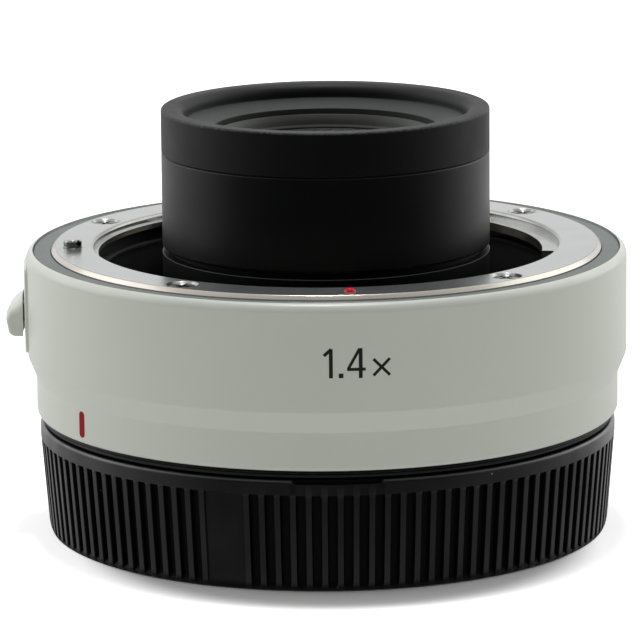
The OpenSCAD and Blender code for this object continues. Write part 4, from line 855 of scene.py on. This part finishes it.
class TELECONVERTER_OT_front_mount(bpy.types.Operator):
    """Front bayonet mount with its lugs and holes, the grey trim ring and the red index dot"""
    bl_idname = "teleconverter.front_mount"
    bl_label = "Front mount"

    def execute(self, context):
        seat, face = low("front_trim_ring"), high("front_mount")
        outer, mouth, throat = mm("mount_radius"), mm("mouth_radius"), mm("throat_radius")
        ledge = face - LIP_DEPTH
        plate = turned_round([
            (throat, seat, 0.03), (outer, seat, 0.03), (outer, face - mm("bevel_height"), 0.1),
            (outer - mm("bevel_width"), face, 0.22), (mouth, face, mm("mouth_round")),
            (mouth, ledge, 0.05), (throat, ledge, 0.05)], steps=8)
        lugs = [sector(box_section(throat - 1.4, throat + 0.2, low("front_mount"), ledge - 0.02, 0.08),
                       angle, 52) for angle in LUG_ANGLES]
        holes = [set_out(countersink(face, seat), angle, mm("screw_circle"))
                 for angle in FRONT_SCREW_ANGLES]
        holes.append(set_out(turned_round([(0, seat - 1, 0), (1.14, seat - 1, 0), (1.14, face - 0.08, 0),
                                           (1.26, face + 0.04, 0), (1.26, face + 1, 0), (0, face + 1, 0)],
                                          48), LOCK_ANGLE, mm("screw_circle")))
        holes.append(set_out(turned_round([(0, face - 0.45, 0), (0.72, face - 0.45, 0),
                                           (0.72, face + 1, 0), (0, face + 1, 0)], 48), 0,
                             mm("screw_circle")))
        piece("front_mount_plate", [plate], plating(), ["front_mount"],
              join=lugs, cut=holes)
        trim = turned_round([(*corner[:2], 0.14) for corner in box_section(
            outer + 0.05, reach("front_trim_ring"), seat, high("front_trim_ring"))])
        piece("trim_ring", [trim], grey_trim(), ["front_trim_ring"])
        foot, rise, wide = low("lens_index_dot"), high("lens_index_dot") - face, 0.7
        ball = (wide ** 2 + rise ** 2) / (2 * rise)
        r = wide * np.sin(np.linspace(np.pi / 2, 0, 14))
        dome = np.stack([r, face + rise - ball + np.sqrt(ball ** 2 - r ** 2)], -1)
        section = np.concatenate([[[0, foot], [wide, foot]], dome])
        piece("index_dot", [set_out(turned(section, 48), 0, mm("screw_circle"))], red_bead(),
              ["lens_index_dot"])
        return {"FINISHED"}


def countersink(face, far_side):
    """Hole for a countersunk screw, with a bevelled edge at its face, as a turned cutter."""
    head = mm("screw_head") / 2 + 0.05
    away = 1 if face > far_side else -1
    return turned_round([(0, face + away, 0), (head + 0.3, face + away, 0), (head + 0.3, face, 0),
                         (head, face - 0.25 * away, 0), (0.9, face - away, 0),
                         (0.9, far_side - away, 0), (0, far_side - away, 0)], 64)


def screw(name, face, away, long):
    """Countersunk screw with a cross recess, about the axis: away is +1 for a head that looks up."""
    head, top = mm("screw_head") / 2, face - 0.2 * away
    body = turned_round([(0, top, 0), (head, top, 0.07), (head, top - 0.12 * away, 0.03),
                         (0.85, top - 0.8 * away, 0.02), (0.85, top - long * away, 0.1),
                         (0, top - long * away, 0)], 48, 3)
    arms = [block(-1.0, 1.0, 0.35, top - 0.45, top + 0.45, turn) for turn in (-90, 0)]
    made = bpy.data.objects.new(name, mesh_of(name, [body]))
    bpy.context.scene.collection.objects.link(made)
    for arm in arms:
        combine(made, [[arm]], "DIFFERENCE")
    mesh = made.data
    points = np.empty(len(mesh.vertices) * 3)
    mesh.vertices.foreach_get("co", points)
    faces = [list(face.vertices) for face in mesh.polygons]
    bpy.data.objects.remove(made)
    return points.reshape(-1, 3) / MM, faces, np.zeros(len(points) // 3)


class TELECONVERTER_OT_screws(bpy.types.Operator):
    """Countersunk cross-head screws of both mounts"""
    bl_idname = "teleconverter.screws"
    bl_label = "Mount screws"

    def execute(self, context):
        face = high("front_mount")
        one = screw("front_screw", face, 1, 5.0)
        rows = [set_out(one, angle, mm("screw_circle")) for angle in FRONT_SCREW_ANGLES]
        piece("front_screws", rows, screw_steel(), ["front_mount_screws"])
        rear_face = low("rear_mount_screws") - 0.2
        one = screw("rear_screw", rear_face, -1, high("rear_mount_screws") - low("rear_mount_screws"))
        rows = [set_out(one, angle, REAR_SCREW_CIRCLE) for angle in REAR_SCREW_ANGLES]
        piece("rear_screws", rows, screw_steel(), ["rear_mount_screws"])
        return {"FINISHED"}


class TELECONVERTER_OT_lens_tube(bpy.types.Operator):
    """Lens tube, its front ring with the sloping hood, and the front keeper ring"""
    bl_idname = "teleconverter.lens_tube"
    bl_label = "Lens tube"

    def execute(self, context):
        radius, half = mm("tube_radius"), mm("seam") / 2
        foot, seam, top = low("lens_tube"), high("lens_tube"), high("front_ring")
        sleeve = turned_round([(radius - 1.5, foot, 0.05), (radius, foot, 0.3), (radius, seam - half, 0.04),
                               (radius - half, seam, 0.0), (radius - 1.5, seam, 0.0)])
        piece("tube_sleeve", [sleeve], tube_black(), ["lens_tube"])
        rim = radius - mm("tube_rim")
        ring = turned_round([
            (15.25, seam, 0.0), (radius - half, seam, 0.0), (radius, seam + half, 0.04),
            (radius, top, 0.30), (rim - 0.1, top, 1.2), (rim - 0.15, top - 1.65, 0.1),
            (13.3, top - 2.45, 0.08), (13.3, top - 3.5, 0.0), (15.25, top - 3.5, 0.0)])
        # Edge values kept only on the rim's outer edge, where the finish lays its partly worn, partly
        # painted-highlight tone.
        outside = np.hypot(ring[0][:, 0], ring[0][:, 1]) > rim + 1.0
        piece("tube_front_ring", [(ring[0], ring[1], ring[2] * outside)], front_ring_black(),
              ["front_ring"])
        keep_low, keep_high = low("front_keeper_ring"), high("front_keeper_ring") - KEEPER_DROP
        fall = keep_high - keep_low - 0.12
        groove = [(r, keep_low + 0.12 + (r - 12.0) * fall - deep, 0.0)
                  for r, deep in ((12.36, 0.0), (12.36, 0.16), (12.18, 0.16), (12.18, 0.0))]
        keeper = turned_round([(12.0, keep_low, 0.0), (13.2, keep_low, 0.0), (13.2, keep_high, 0.0),
                               (13.0, keep_high, 0.05), *groove, (12.0, keep_low + 0.12, 0.03)])
        piece("hood_keeper", [keeper], keeper_black(), ["front_keeper_ring"])
        return {"FINISHED"}


class TELECONVERTER_OT_lens_lock(bpy.types.Operator):
    """Guide plate, release slider, lock pin and lock spring"""
    bl_idname = "teleconverter.lens_lock"
    bl_label = "Lens lock"

    def execute(self, context):
        z_plate = low("slider_guide_plate")
        plate_h = high("slider_guide_plate") - z_plate
        radius = mm("barrel_radius")
        guide = panel(14, plate_h, 1.0, radius - 0.6, radius + 0.3, z_plate, SLIDER_ANGLE)
        piece("guide_plate", [guide], white_paint(), ["slider_guide_plate"],
              cut=[slider_way(radius)], bevel=0.08)
        inner, foot = radius + 0.5, low("release_slider")
        stem = block(31.65, inner + 0.6, 5.0, foot + 1.5, foot + 3.5, SLIDER_ANGLE)
        tongue = block(28.9, 31.85, 4.0, foot + 2.1, foot + 3.3, SLIDER_ANGLE)
        piece("slider_catch", [self.catch(inner, radius + 2.5, foot), stem, tongue], white_paint(),
              ["release_slider"], body="lens_release", sharp=50)
        top, foot = high("lens_lock_pin"), low("lens_lock_pin")
        pin = turned_round([(0, foot, 0), (0.7, foot, 0.1), (0.7, foot + 1.8, 0.0), (1.08, foot + 1.8, 0.05),
                            (1.08, top - 0.2, 0.06), (0.88, top, 0.06), (0, top, 0)], 64)
        piece("lock_pin", [set_out(pin, LOCK_ANGLE, mm("screw_circle"))], polished_steel(),
              ["lens_lock_pin"], body="lens_release")
        foot, top = low("lock_spring"), high("lock_spring")
        ends = ((place(LOCK_ANGLE, mm("screw_circle")) + (0, 0, z)) * MM for z in (foot + 0.3, top - 0.3))
        piece("lock_coil", [self.coil(foot, top)], bare_steel(), ["lock_spring"],
              across=("housing", "lens_release", *ends))
        return {"FINISHED"}

    def coil(self, foot, top):
        """Coil spring: the wire's section, a circle in (r, z) of radius COIL_WIRE about COIL_RADIUS, is
        carried round its own axis while it climbs evenly from foot to top."""
        t = np.linspace(0, 1, 217)[:, None]
        turn = 2 * np.pi * COIL_TURNS * t
        side = np.linspace(0, 2 * np.pi, 12, endpoint=False)
        r = COIL_RADIUS + COIL_WIRE * np.cos(side)
        z = foot + COIL_WIRE + (top - foot - 2 * COIL_WIRE) * t - COIL_WIRE * np.sin(side)
        loops = np.stack([r * np.cos(turn), r * np.sin(turn), z], -1)
        return set_out(skin(loops, False), LOCK_ANGLE, mm("screw_circle"))

    def catch(self, inner, nose, foot):
        """Finger catch: its section (r, z) is carried across the width y to x = sqrt(r^2 - y^2). Near
        either end the section is lowered by a corner of 1.7 mm and drawn in by one of 0.4 mm."""
        outline, _ = rounded([
            (inner, foot, 0.1), (nose - 0.37, foot, 0.8), (nose, foot + 2.4, 0.6),
            (nose - 0.45, foot + 3.35, 0.5), (inner + 0.55, foot + 4.15, 1.5),
            (inner, foot + 4.75, 0.0)], 8)
        half = mm("slider_width") / 2
        y = half * np.sin(np.linspace(-np.pi / 2, np.pi / 2, 49))[:, None]
        fall, draw = (corner - np.sqrt(corner ** 2 - np.maximum(np.abs(y) - half + corner, 0) ** 2)
                      for corner in (1.7, 0.4))
        z = foot + (outline[:, 1] - foot) * (1 - fall / 4.75)
        r = inner + (outline[:, 0] - inner) * (1 - draw / (nose - inner))
        loops = np.stack([np.sqrt(r ** 2 - y ** 2), y + 0 * r, z], -1)
        return set_out(skin(loops, False), SLIDER_ANGLE - 90, 0)


class TELECONVERTER_OT_throat(bpy.types.Operator):
    """Sprung contact pins in the throat"""
    bl_idname = "teleconverter.throat"
    bl_label = "Throat contacts"

    def execute(self, context):
        foot, top = low("front_contact_pins"), high("front_contact_pins")
        pin = turned_round([(0, foot, 0), (0.7, foot, 0.05), (0.7, foot + 0.7, 0.05),
                            (0.45, foot + 0.7, 0.0), (0.45, top, 0.4), (0, top, 0)], 24, 5)
        rows = [set_out(pin, angle, FRONT_CONTACT_CIRCLE) for angle in CONTACT_ANGLES]
        piece("contact_pins", rows, contact_gold(), ["front_contact_pins"],
              body="spring_contacts")
        return {"FINISHED"}


class TELECONVERTER_OT_rear_mount(bpy.types.Operator):
    """Rear bayonet mount with its tabs, the dark trim ring, the rubber seal and the flat contacts"""
    bl_idname = "teleconverter.rear_mount"
    bl_label = "Rear mount"

    def execute(self, context):
        foot, top, face = low("rear_mount"), high("rear_mount"), high("rear_mount") - 1.5
        outer, spigot, bore = reach("rear_mount"), 25.3, 23.6
        body = turned_round([(bore, foot, 0.12), (spigot, foot, 0.15), (spigot, face, 0.1),
                             (outer, face, 0.15), (outer, top, 0.05), (bore, top, 0.05)])
        tabs = [sector(box_section(spigot - 0.2, 26.9, 9.6, 11.0, 0.12), angle, 44)
                for angle in TAB_ANGLES]
        holes = [set_out(countersink(face, top), angle, REAR_SCREW_CIRCLE)
                 for angle in REAR_SCREW_ANGLES]
        piece("rear_mount_ring", [body], plating(), ["rear_mount"], join=tabs, cut=holes)
        trim_low, trim_top = low("rear_trim_ring"), high("rear_trim_ring")
        edge_r, step = reach("rear_trim_ring"), low("outer_barrel")
        trim = turned_round([(32.5, trim_low, 0.06), (edge_r, trim_low, 0.1), (edge_r, step, 0.04),
                             (33.45, step, 0.0), (33.45, trim_top, 0.05), (32.5, trim_top, 0.05)])
        piece("rear_trim", [trim], tube_black(), ["rear_trim_ring"])
        seal = turned_round(box_section(32.55, reach("rear_mount_seal"), low("rear_mount_seal"),
                                        high("rear_mount_seal"), 0.2))
        piece("seal_band", [seal], seal_rubber(), ["rear_mount_seal"], body="seal_ring")
        pad_low = low("rear_contact_pads")
        pads = [block(REAR_CONTACT_CIRCLE - 0.9, REAR_CONTACT_CIRCLE + 0.9, 1.5, pad_low,
                      pad_low + 0.3, angle) for angle in CONTACT_ANGLES]
        piece("flat_contacts", pads, contact_gold(), ["rear_contact_pads"], bevel=0.06)
        return {"FINISHED"}


class TELECONVERTER_OT_cap(bpy.types.Operator):
    """Rear cap: ribbed cup with a smooth rim and patch, and a bayonet socket inside"""
    bl_idname = "teleconverter.cap"
    bl_label = "Rear cap"

    def execute(self, context):
        sizes = context.scene.converter_sizes
        rim, top, rib = mm("cap_radius"), high("rear_cap"), mm("rib_height")
        base, z_rib = rim - mm("cap_taper"), top - 1.8
        pitch = 360 / sizes.rib_count
        half = math.degrees(mm("rib_width") / rim) / 2
        offsets = np.array([-pitch / 2, -half * 1.14, -half * 1.04, -half * 0.84, half * 0.84,
                            half * 1.04, half * 1.14])
        crown = np.array([0.0, 0.0, 0.8, 1.0, 1.0, 0.8, 0.0])
        angles = (90 + RIB_TURN + pitch * np.arange(sizes.rib_count)[:, None] + offsets[None, :]).ravel()
        rise = np.tile(crown, sizes.rib_count)
        apart = np.abs((angles - PATCH_ANGLE + 180) % 360 - 180)
        rise = np.where(apart < math.degrees(mm("patch_width") / rim) / 2 - 0.1, PATCH_RISE, rise)
        rise = rise[:, None]
        notch = np.abs((angles - NOTCH_ANGLE + 180) % 360 - 180)[:, None] < NOTCH_SPAN / 2
        slope = (rim - base) / (z_rib - 0.4)
        wall = np.array([[base - 0.45, 0.0], [base - 0.22, 0.12], [base - 0.06, 0.5],
                         [base + slope * 0.7, 1.1], [base + slope * 5, 5.4],
                         [rim - 0.04, z_rib - 0.3], [rim - 0.02, z_rib - 0.05]])
        depth = rib * np.array([0.0, 0.0, 0.1, 1.0, 1.0, 1.0, 0.9])
        ribbed = np.stack([wall[:, 0] - depth * (1 - rise), wall[:, 1] + 0 * rise], -1)
        lip = np.array([[rim, z_rib + 0.05], [rim, top - 0.46], [rim, top - 0.4], [rim - 0.05, top - 0.2],
                        [rim - 0.2, top - 0.05], [rim - 0.5, top], [rim - 0.55, top]])
        cut = np.array([[rim, z_rib + 0.05], [rim, top - 0.5], [rim - 0.06, top - 0.45],
                        [rim - 0.46, top - 0.43], [rim - 0.5, top - 0.4], [rim - 0.5, top - 0.04],
                        [rim - 0.55, top]])
        plain = rounded([(rim - 1.0, top, 0.0), (31.45, top, 0.25), (31.45, 1.8, 0.4), (28.8, 1.8, 0.3),
                         (28.8, top - 0.3, 0.2), (27.4, top - 0.3, 0.2), (27.4, 1.8, 0.3),
                         (0.01, 1.8, 0.0), (0.01, 0.0, 0.0), (25.4, 0.0, 0.15), (25.4, 0.4, 0.1),
                         (27.4, 0.4, 0.1), (27.4, 0.0, 0.15), (base - 1.5, 0.0, 0.0)], 4)[0]
        plain = np.where(plain[:, :1] < 0.02, plain * [0, 1], plain)
        first = np.nonzero(np.isclose(plain, [rim - 1.0, top]).all(1))[0][0]
        plain = np.roll(plain, -first, 0)
        section = np.concatenate([ribbed, np.where(notch[..., None], cut, lip),
                                  np.broadcast_to(plain, (len(angles), *plain.shape))], 1)
        t = np.radians(angles)[:, None]
        loops = np.stack([section[..., 0] * np.sin(t), -section[..., 0] * np.cos(t), section[..., 1]], -1)
        # Edge values of rib crowns, patch, band and lip: they drive the coat's gloss and the barely lighter
        # edge tone, partly wear and partly painted sheen.
        edge_weight = np.zeros(loops.shape[:2])
        edge_weight[:, 3:7] = 0.8 * (rise > 0.9) + 0.4 * (rise == PATCH_RISE)
        edge_weight[:, 7:9] = 0.9
        edge_weight[:, 9:13] = 1.0 * ~notch
        cup = skin(loops, True)
        cup = (cup[0], cup[1], edge_weight.ravel())
        lugs = [sector(box_section(25.6, 27.6, 11.3, 12.8, 0.15), angle, 28) for angle in CAP_LUG_ANGLES]
        piece("cap_shell", [cup] + lugs, cap_plastic(), ["rear_cap"], body="cap", sharp=40)
        return {"FINISHED"}


class TELECONVERTER_OT_inner_pieces(bpy.types.Operator):
    """Finishes of the CAD pieces that show as they are, inside the throat, the tube and the body"""
    bl_idname = "teleconverter.inner_pieces"
    bl_label = "Inner pieces"

    def execute(self, context):
        dressed = {
            collar_black: ("chassis",),
            ring_black: ("front_lens_cell", "rear_lens_cell", "lens_spacer", "mid_keeper_ring",
                         "rear_keeper_ring"),
            throat_black: ("throat_baffle", "rear_light_baffle"),
            moulded_black: ("front_contact_block", "rear_contact_block", "board_chips"),
            spring_steel: ("bayonet_leaf_spring",),
            bare_steel: ("contact_springs", "cell_screws", "lock_slide_plate", "lock_guide_post"),
            coated_glass: tuple(f"lens_element_{number}" for number in range(1, 8)),
            board_green: ("circuit_board",),
            flex_amber: ("flex_cable",),
        }
        for make, names in dressed.items():
            for name in names:
                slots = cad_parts[name].data.materials
                slots.clear()
                slots.append(make())
        return {"FINISHED"}


class TELECONVERTER_OT_stage(bpy.types.Operator):
    """Pale floor, soft studio lamps, white surroundings and the camera"""
    bl_idname = "teleconverter.stage"
    bl_label = "Stage"

    def execute(self, context):
        scene, stage = context.scene, context.scene.converter_stage
        grid = np.linspace(-3.0, 3.0, 5)
        x, y = np.meshgrid(grid, grid)
        points = np.stack([x, y, 0 * x], -1).reshape(-1, 3)
        index = np.arange(25).reshape(5, 5)
        faces = np.stack([index[:-1, :-1], index[:-1, 1:], index[1:, 1:], index[1:, :-1]], -1)
        mesh = bpy.data.meshes.new("floor")
        mesh.from_pydata(points, [], faces.reshape(-1, 4).tolist())
        floor = bpy.data.objects.new("floor", mesh)
        scene.collection.objects.link(floor)
        mesh.materials.append(self.floor_finish(tuple(stage.floor)))
        for name, power, size, where in (
                ("left softbox", stage.side_power, (0.7, 0.7), (-0.70, 0.30, 0.40)),
                ("right softbox", stage.side_power, (0.7, 0.7), (0.70, 0.30, 0.40)),
                ("top softbox", stage.top_power, (0.14, 0.06), (0.0, 0.09, 0.87))):
            lamp = bpy.data.lights.new(name, "AREA")
            lamp.shape, lamp.energy = "RECTANGLE", power
            lamp.size, lamp.size_y = size
            lit = bpy.data.objects.new(name, lamp)
            scene.collection.objects.link(lit)
            away = Matrix.Translation(where)
            toward = (Matrix.Translation((0, 0, 0.025)).translation - away.translation)
            lit.matrix_world = away @ toward.to_track_quat("-Z", "Y").to_matrix().to_4x4()
        self.surroundings(scene, stage)
        lens = bpy.data.cameras.new("camera")
        lens.lens, lens.sensor_width, lens.sensor_fit = stage.lens, 36.0, "HORIZONTAL"
        lens.clip_start, lens.clip_end = 0.01, 20.0
        eye = bpy.data.objects.new("camera", lens)
        scene.collection.objects.link(eye)
        eye.matrix_world = (
            Matrix.Translation((math.sin(stage.azimuth) * stage.distance,
                                -math.cos(stage.azimuth) * stage.distance, stage.height))
            @ Matrix.Rotation(stage.azimuth + stage.yaw, 4, "Z")
            @ Matrix.Rotation(math.pi / 2 - stage.pitch, 4, "X") @ Matrix.Rotation(stage.roll, 4, "Z"))
        scene.camera = eye
        scene.view_settings.view_transform = "Standard"
        return {"FINISHED"}

    def floor_finish(self, tone):
        """Diffuse floor that keeps the shadow at the part's front edge and is lifted to white away from
        it for the camera. Gloss sees it bright behind the part and dim on the camera's side."""
        material = bpy.data.materials.new("floor")
        material.use_nodes = True
        tree = material.node_tree
        tree.nodes.clear()
        path = node(tree, "LightPath").outputs
        matte = node(tree, "BsdfDiffuse", {"Color": tone + (1.0,)})
        where = node(tree, "TexCoord").outputs["Object"]
        away = node(tree, "VectorMath", {0: where, 1: (0.0, -0.012, 0.0)}, operation="DISTANCE")
        glow = node(tree, "MapRange", {0: away.outputs["Value"], 1: 0.0255, 2: 0.0315, 3: 0.0, 4: 0.6},
                    interpolation_type="SMOOTHSTEP").outputs[0]
        more = node(tree, "BsdfDiffuse", {"Color": tuple(0.25 * value for value in tone) + (1.0,)})
        bright = node(tree, "AddShader", {0: matte.outputs[0], 1: more.outputs[0]})
        lift = node(tree, "Emission", {"Color": (1, 1, 1, 1), "Strength": glow})
        both = node(tree, "AddShader", {0: bright.outputs[0], 1: lift.outputs[0]})
        seen = node(tree, "Math", {0: path["Is Camera Ray"], 1: path["Is Transmission Ray"]},
                    operation="MAXIMUM").outputs[0]
        plain = node(tree, "MixShader", {0: seen, 1: matte.outputs[0], 2: both.outputs[0]})
        depth = node(tree, "SeparateXYZ", {0: where}).outputs["Y"]
        level = node(tree, "MapRange", {0: depth, 1: -0.12, 2: 0.10, 3: 0.03, 4: 0.9},
                     interpolation_type="SMOOTHSTEP").outputs[0]
        mirrored = node(tree, "Emission", {"Color": (1, 1, 1, 1), "Strength": level})
        pick = node(tree, "MixShader", {0: path["Is Glossy Ray"], 1: plain.outputs[0],
                                        2: mirrored.outputs[0]})
        out = node(tree, "OutputMaterial")
        tree.links.new(pick.outputs[0], out.inputs["Surface"])
        return material

    def surroundings(self, scene, stage):
        """White world for the camera, gloss and glass, dim on the camera's side for gloss, and a more
        even ambient light for the rest."""
        world = bpy.data.worlds.new("surroundings")
        scene.world = world
        world.use_nodes = True
        tree = world.node_tree
        tree.nodes.clear()
        path = node(tree, "LightPath")
        way = node(tree, "TexCoord").outputs["Generated"]
        front = node(tree, "SeparateXYZ", {0: way}).outputs["Y"]
        dim = node(tree, "MapRange", {0: front, 1: -0.9, 2: 0.5, 3: 0.06, 4: 1.0},
                   interpolation_type="SMOOTHSTEP").outputs[0]
        even = node(tree, "MapRange", {0: front, 1: -0.9, 2: 0.5, 3: 0.40, 4: 1.0}).outputs[0]
        ambient = node(tree, "Math", {0: even, 1: stage.ambient}, operation="MULTIPLY").outputs[0]
        mirror = node(tree, "Math", {0: path.outputs["Is Glossy Ray"],
                                     1: path.outputs["Is Transmission Ray"]}, operation="MAXIMUM")
        gloss = node(tree, "Mix", {"Factor": mirror.outputs[0], "A": ambient, "B": dim}).outputs[0]
        level = node(tree, "Mix", {"Factor": path.outputs["Is Camera Ray"], "A": gloss, "B": 1.0})
        sky = node(tree, "Background", {"Color": (1, 1, 1, 1), "Strength": level.outputs[0]})
        out = node(tree, "OutputWorld")
        tree.links.new(sky.outputs[0], out.inputs["Surface"])


OPERATORS = (TELECONVERTER_OT_barrel, TELECONVERTER_OT_barrel_marks, TELECONVERTER_OT_front_mount,
             TELECONVERTER_OT_screws, TELECONVERTER_OT_lens_tube, TELECONVERTER_OT_lens_lock,
             TELECONVERTER_OT_throat, TELECONVERTER_OT_rear_mount, TELECONVERTER_OT_cap,
             TELECONVERTER_OT_inner_pieces, TELECONVERTER_OT_stage)


class TELECONVERTER_PT_panel(bpy.types.Panel):
    """Sidebar panel with the sizes, colours and steps"""
    bl_idname = "TELECONVERTER_PT_panel"
    bl_label = "Camera teleconverter"
    bl_space_type = "VIEW_3D"
    bl_region_type = "UI"
    bl_category = "Teleconverter"

    def draw(self, context):
        scene = context.scene
        for title, values in (("Sizes", scene.converter_sizes), ("Colours", scene.converter_colours),
                              ("Stage", scene.converter_stage)):
            box = self.layout.box()
            box.label(text=title)
            for name in values.__annotations__:
                box.prop(values, name)
        column = self.layout.column(align=True)
        for step in OPERATORS:
            column.operator(step.bl_idname)


CLASSES = (ConverterSizes, ConverterColours, ConverterStage) + OPERATORS + (TELECONVERTER_PT_panel,)


def register():
    """Registers the classes and hangs the values on the scene."""
    for cls in CLASSES:
        bpy.utils.register_class(cls)
    bpy.types.Scene.converter_sizes = PointerProperty(type=ConverterSizes)
    bpy.types.Scene.converter_colours = PointerProperty(type=ConverterColours)
    bpy.types.Scene.converter_stage = PointerProperty(type=ConverterStage)


def unregister():
    """Takes the values off the scene and the classes out again."""
    del bpy.types.Scene.converter_stage
    del bpy.types.Scene.converter_colours
    del bpy.types.Scene.converter_sizes
    for cls in reversed(CLASSES):
        bpy.utils.unregister_class(cls)


def main():
    """Builds every piece and the stage."""
    register()
    bpy.ops.teleconverter.barrel()
    bpy.ops.teleconverter.barrel_marks()
    bpy.ops.teleconverter.front_mount()
    bpy.ops.teleconverter.screws()
    bpy.ops.teleconverter.lens_tube()
    bpy.ops.teleconverter.lens_lock()
    bpy.ops.teleconverter.throat()
    bpy.ops.teleconverter.rear_mount()
    bpy.ops.teleconverter.cap()
    bpy.ops.teleconverter.inner_pieces()
    bpy.ops.teleconverter.stage()


if __name__ == "__main__":
    main()
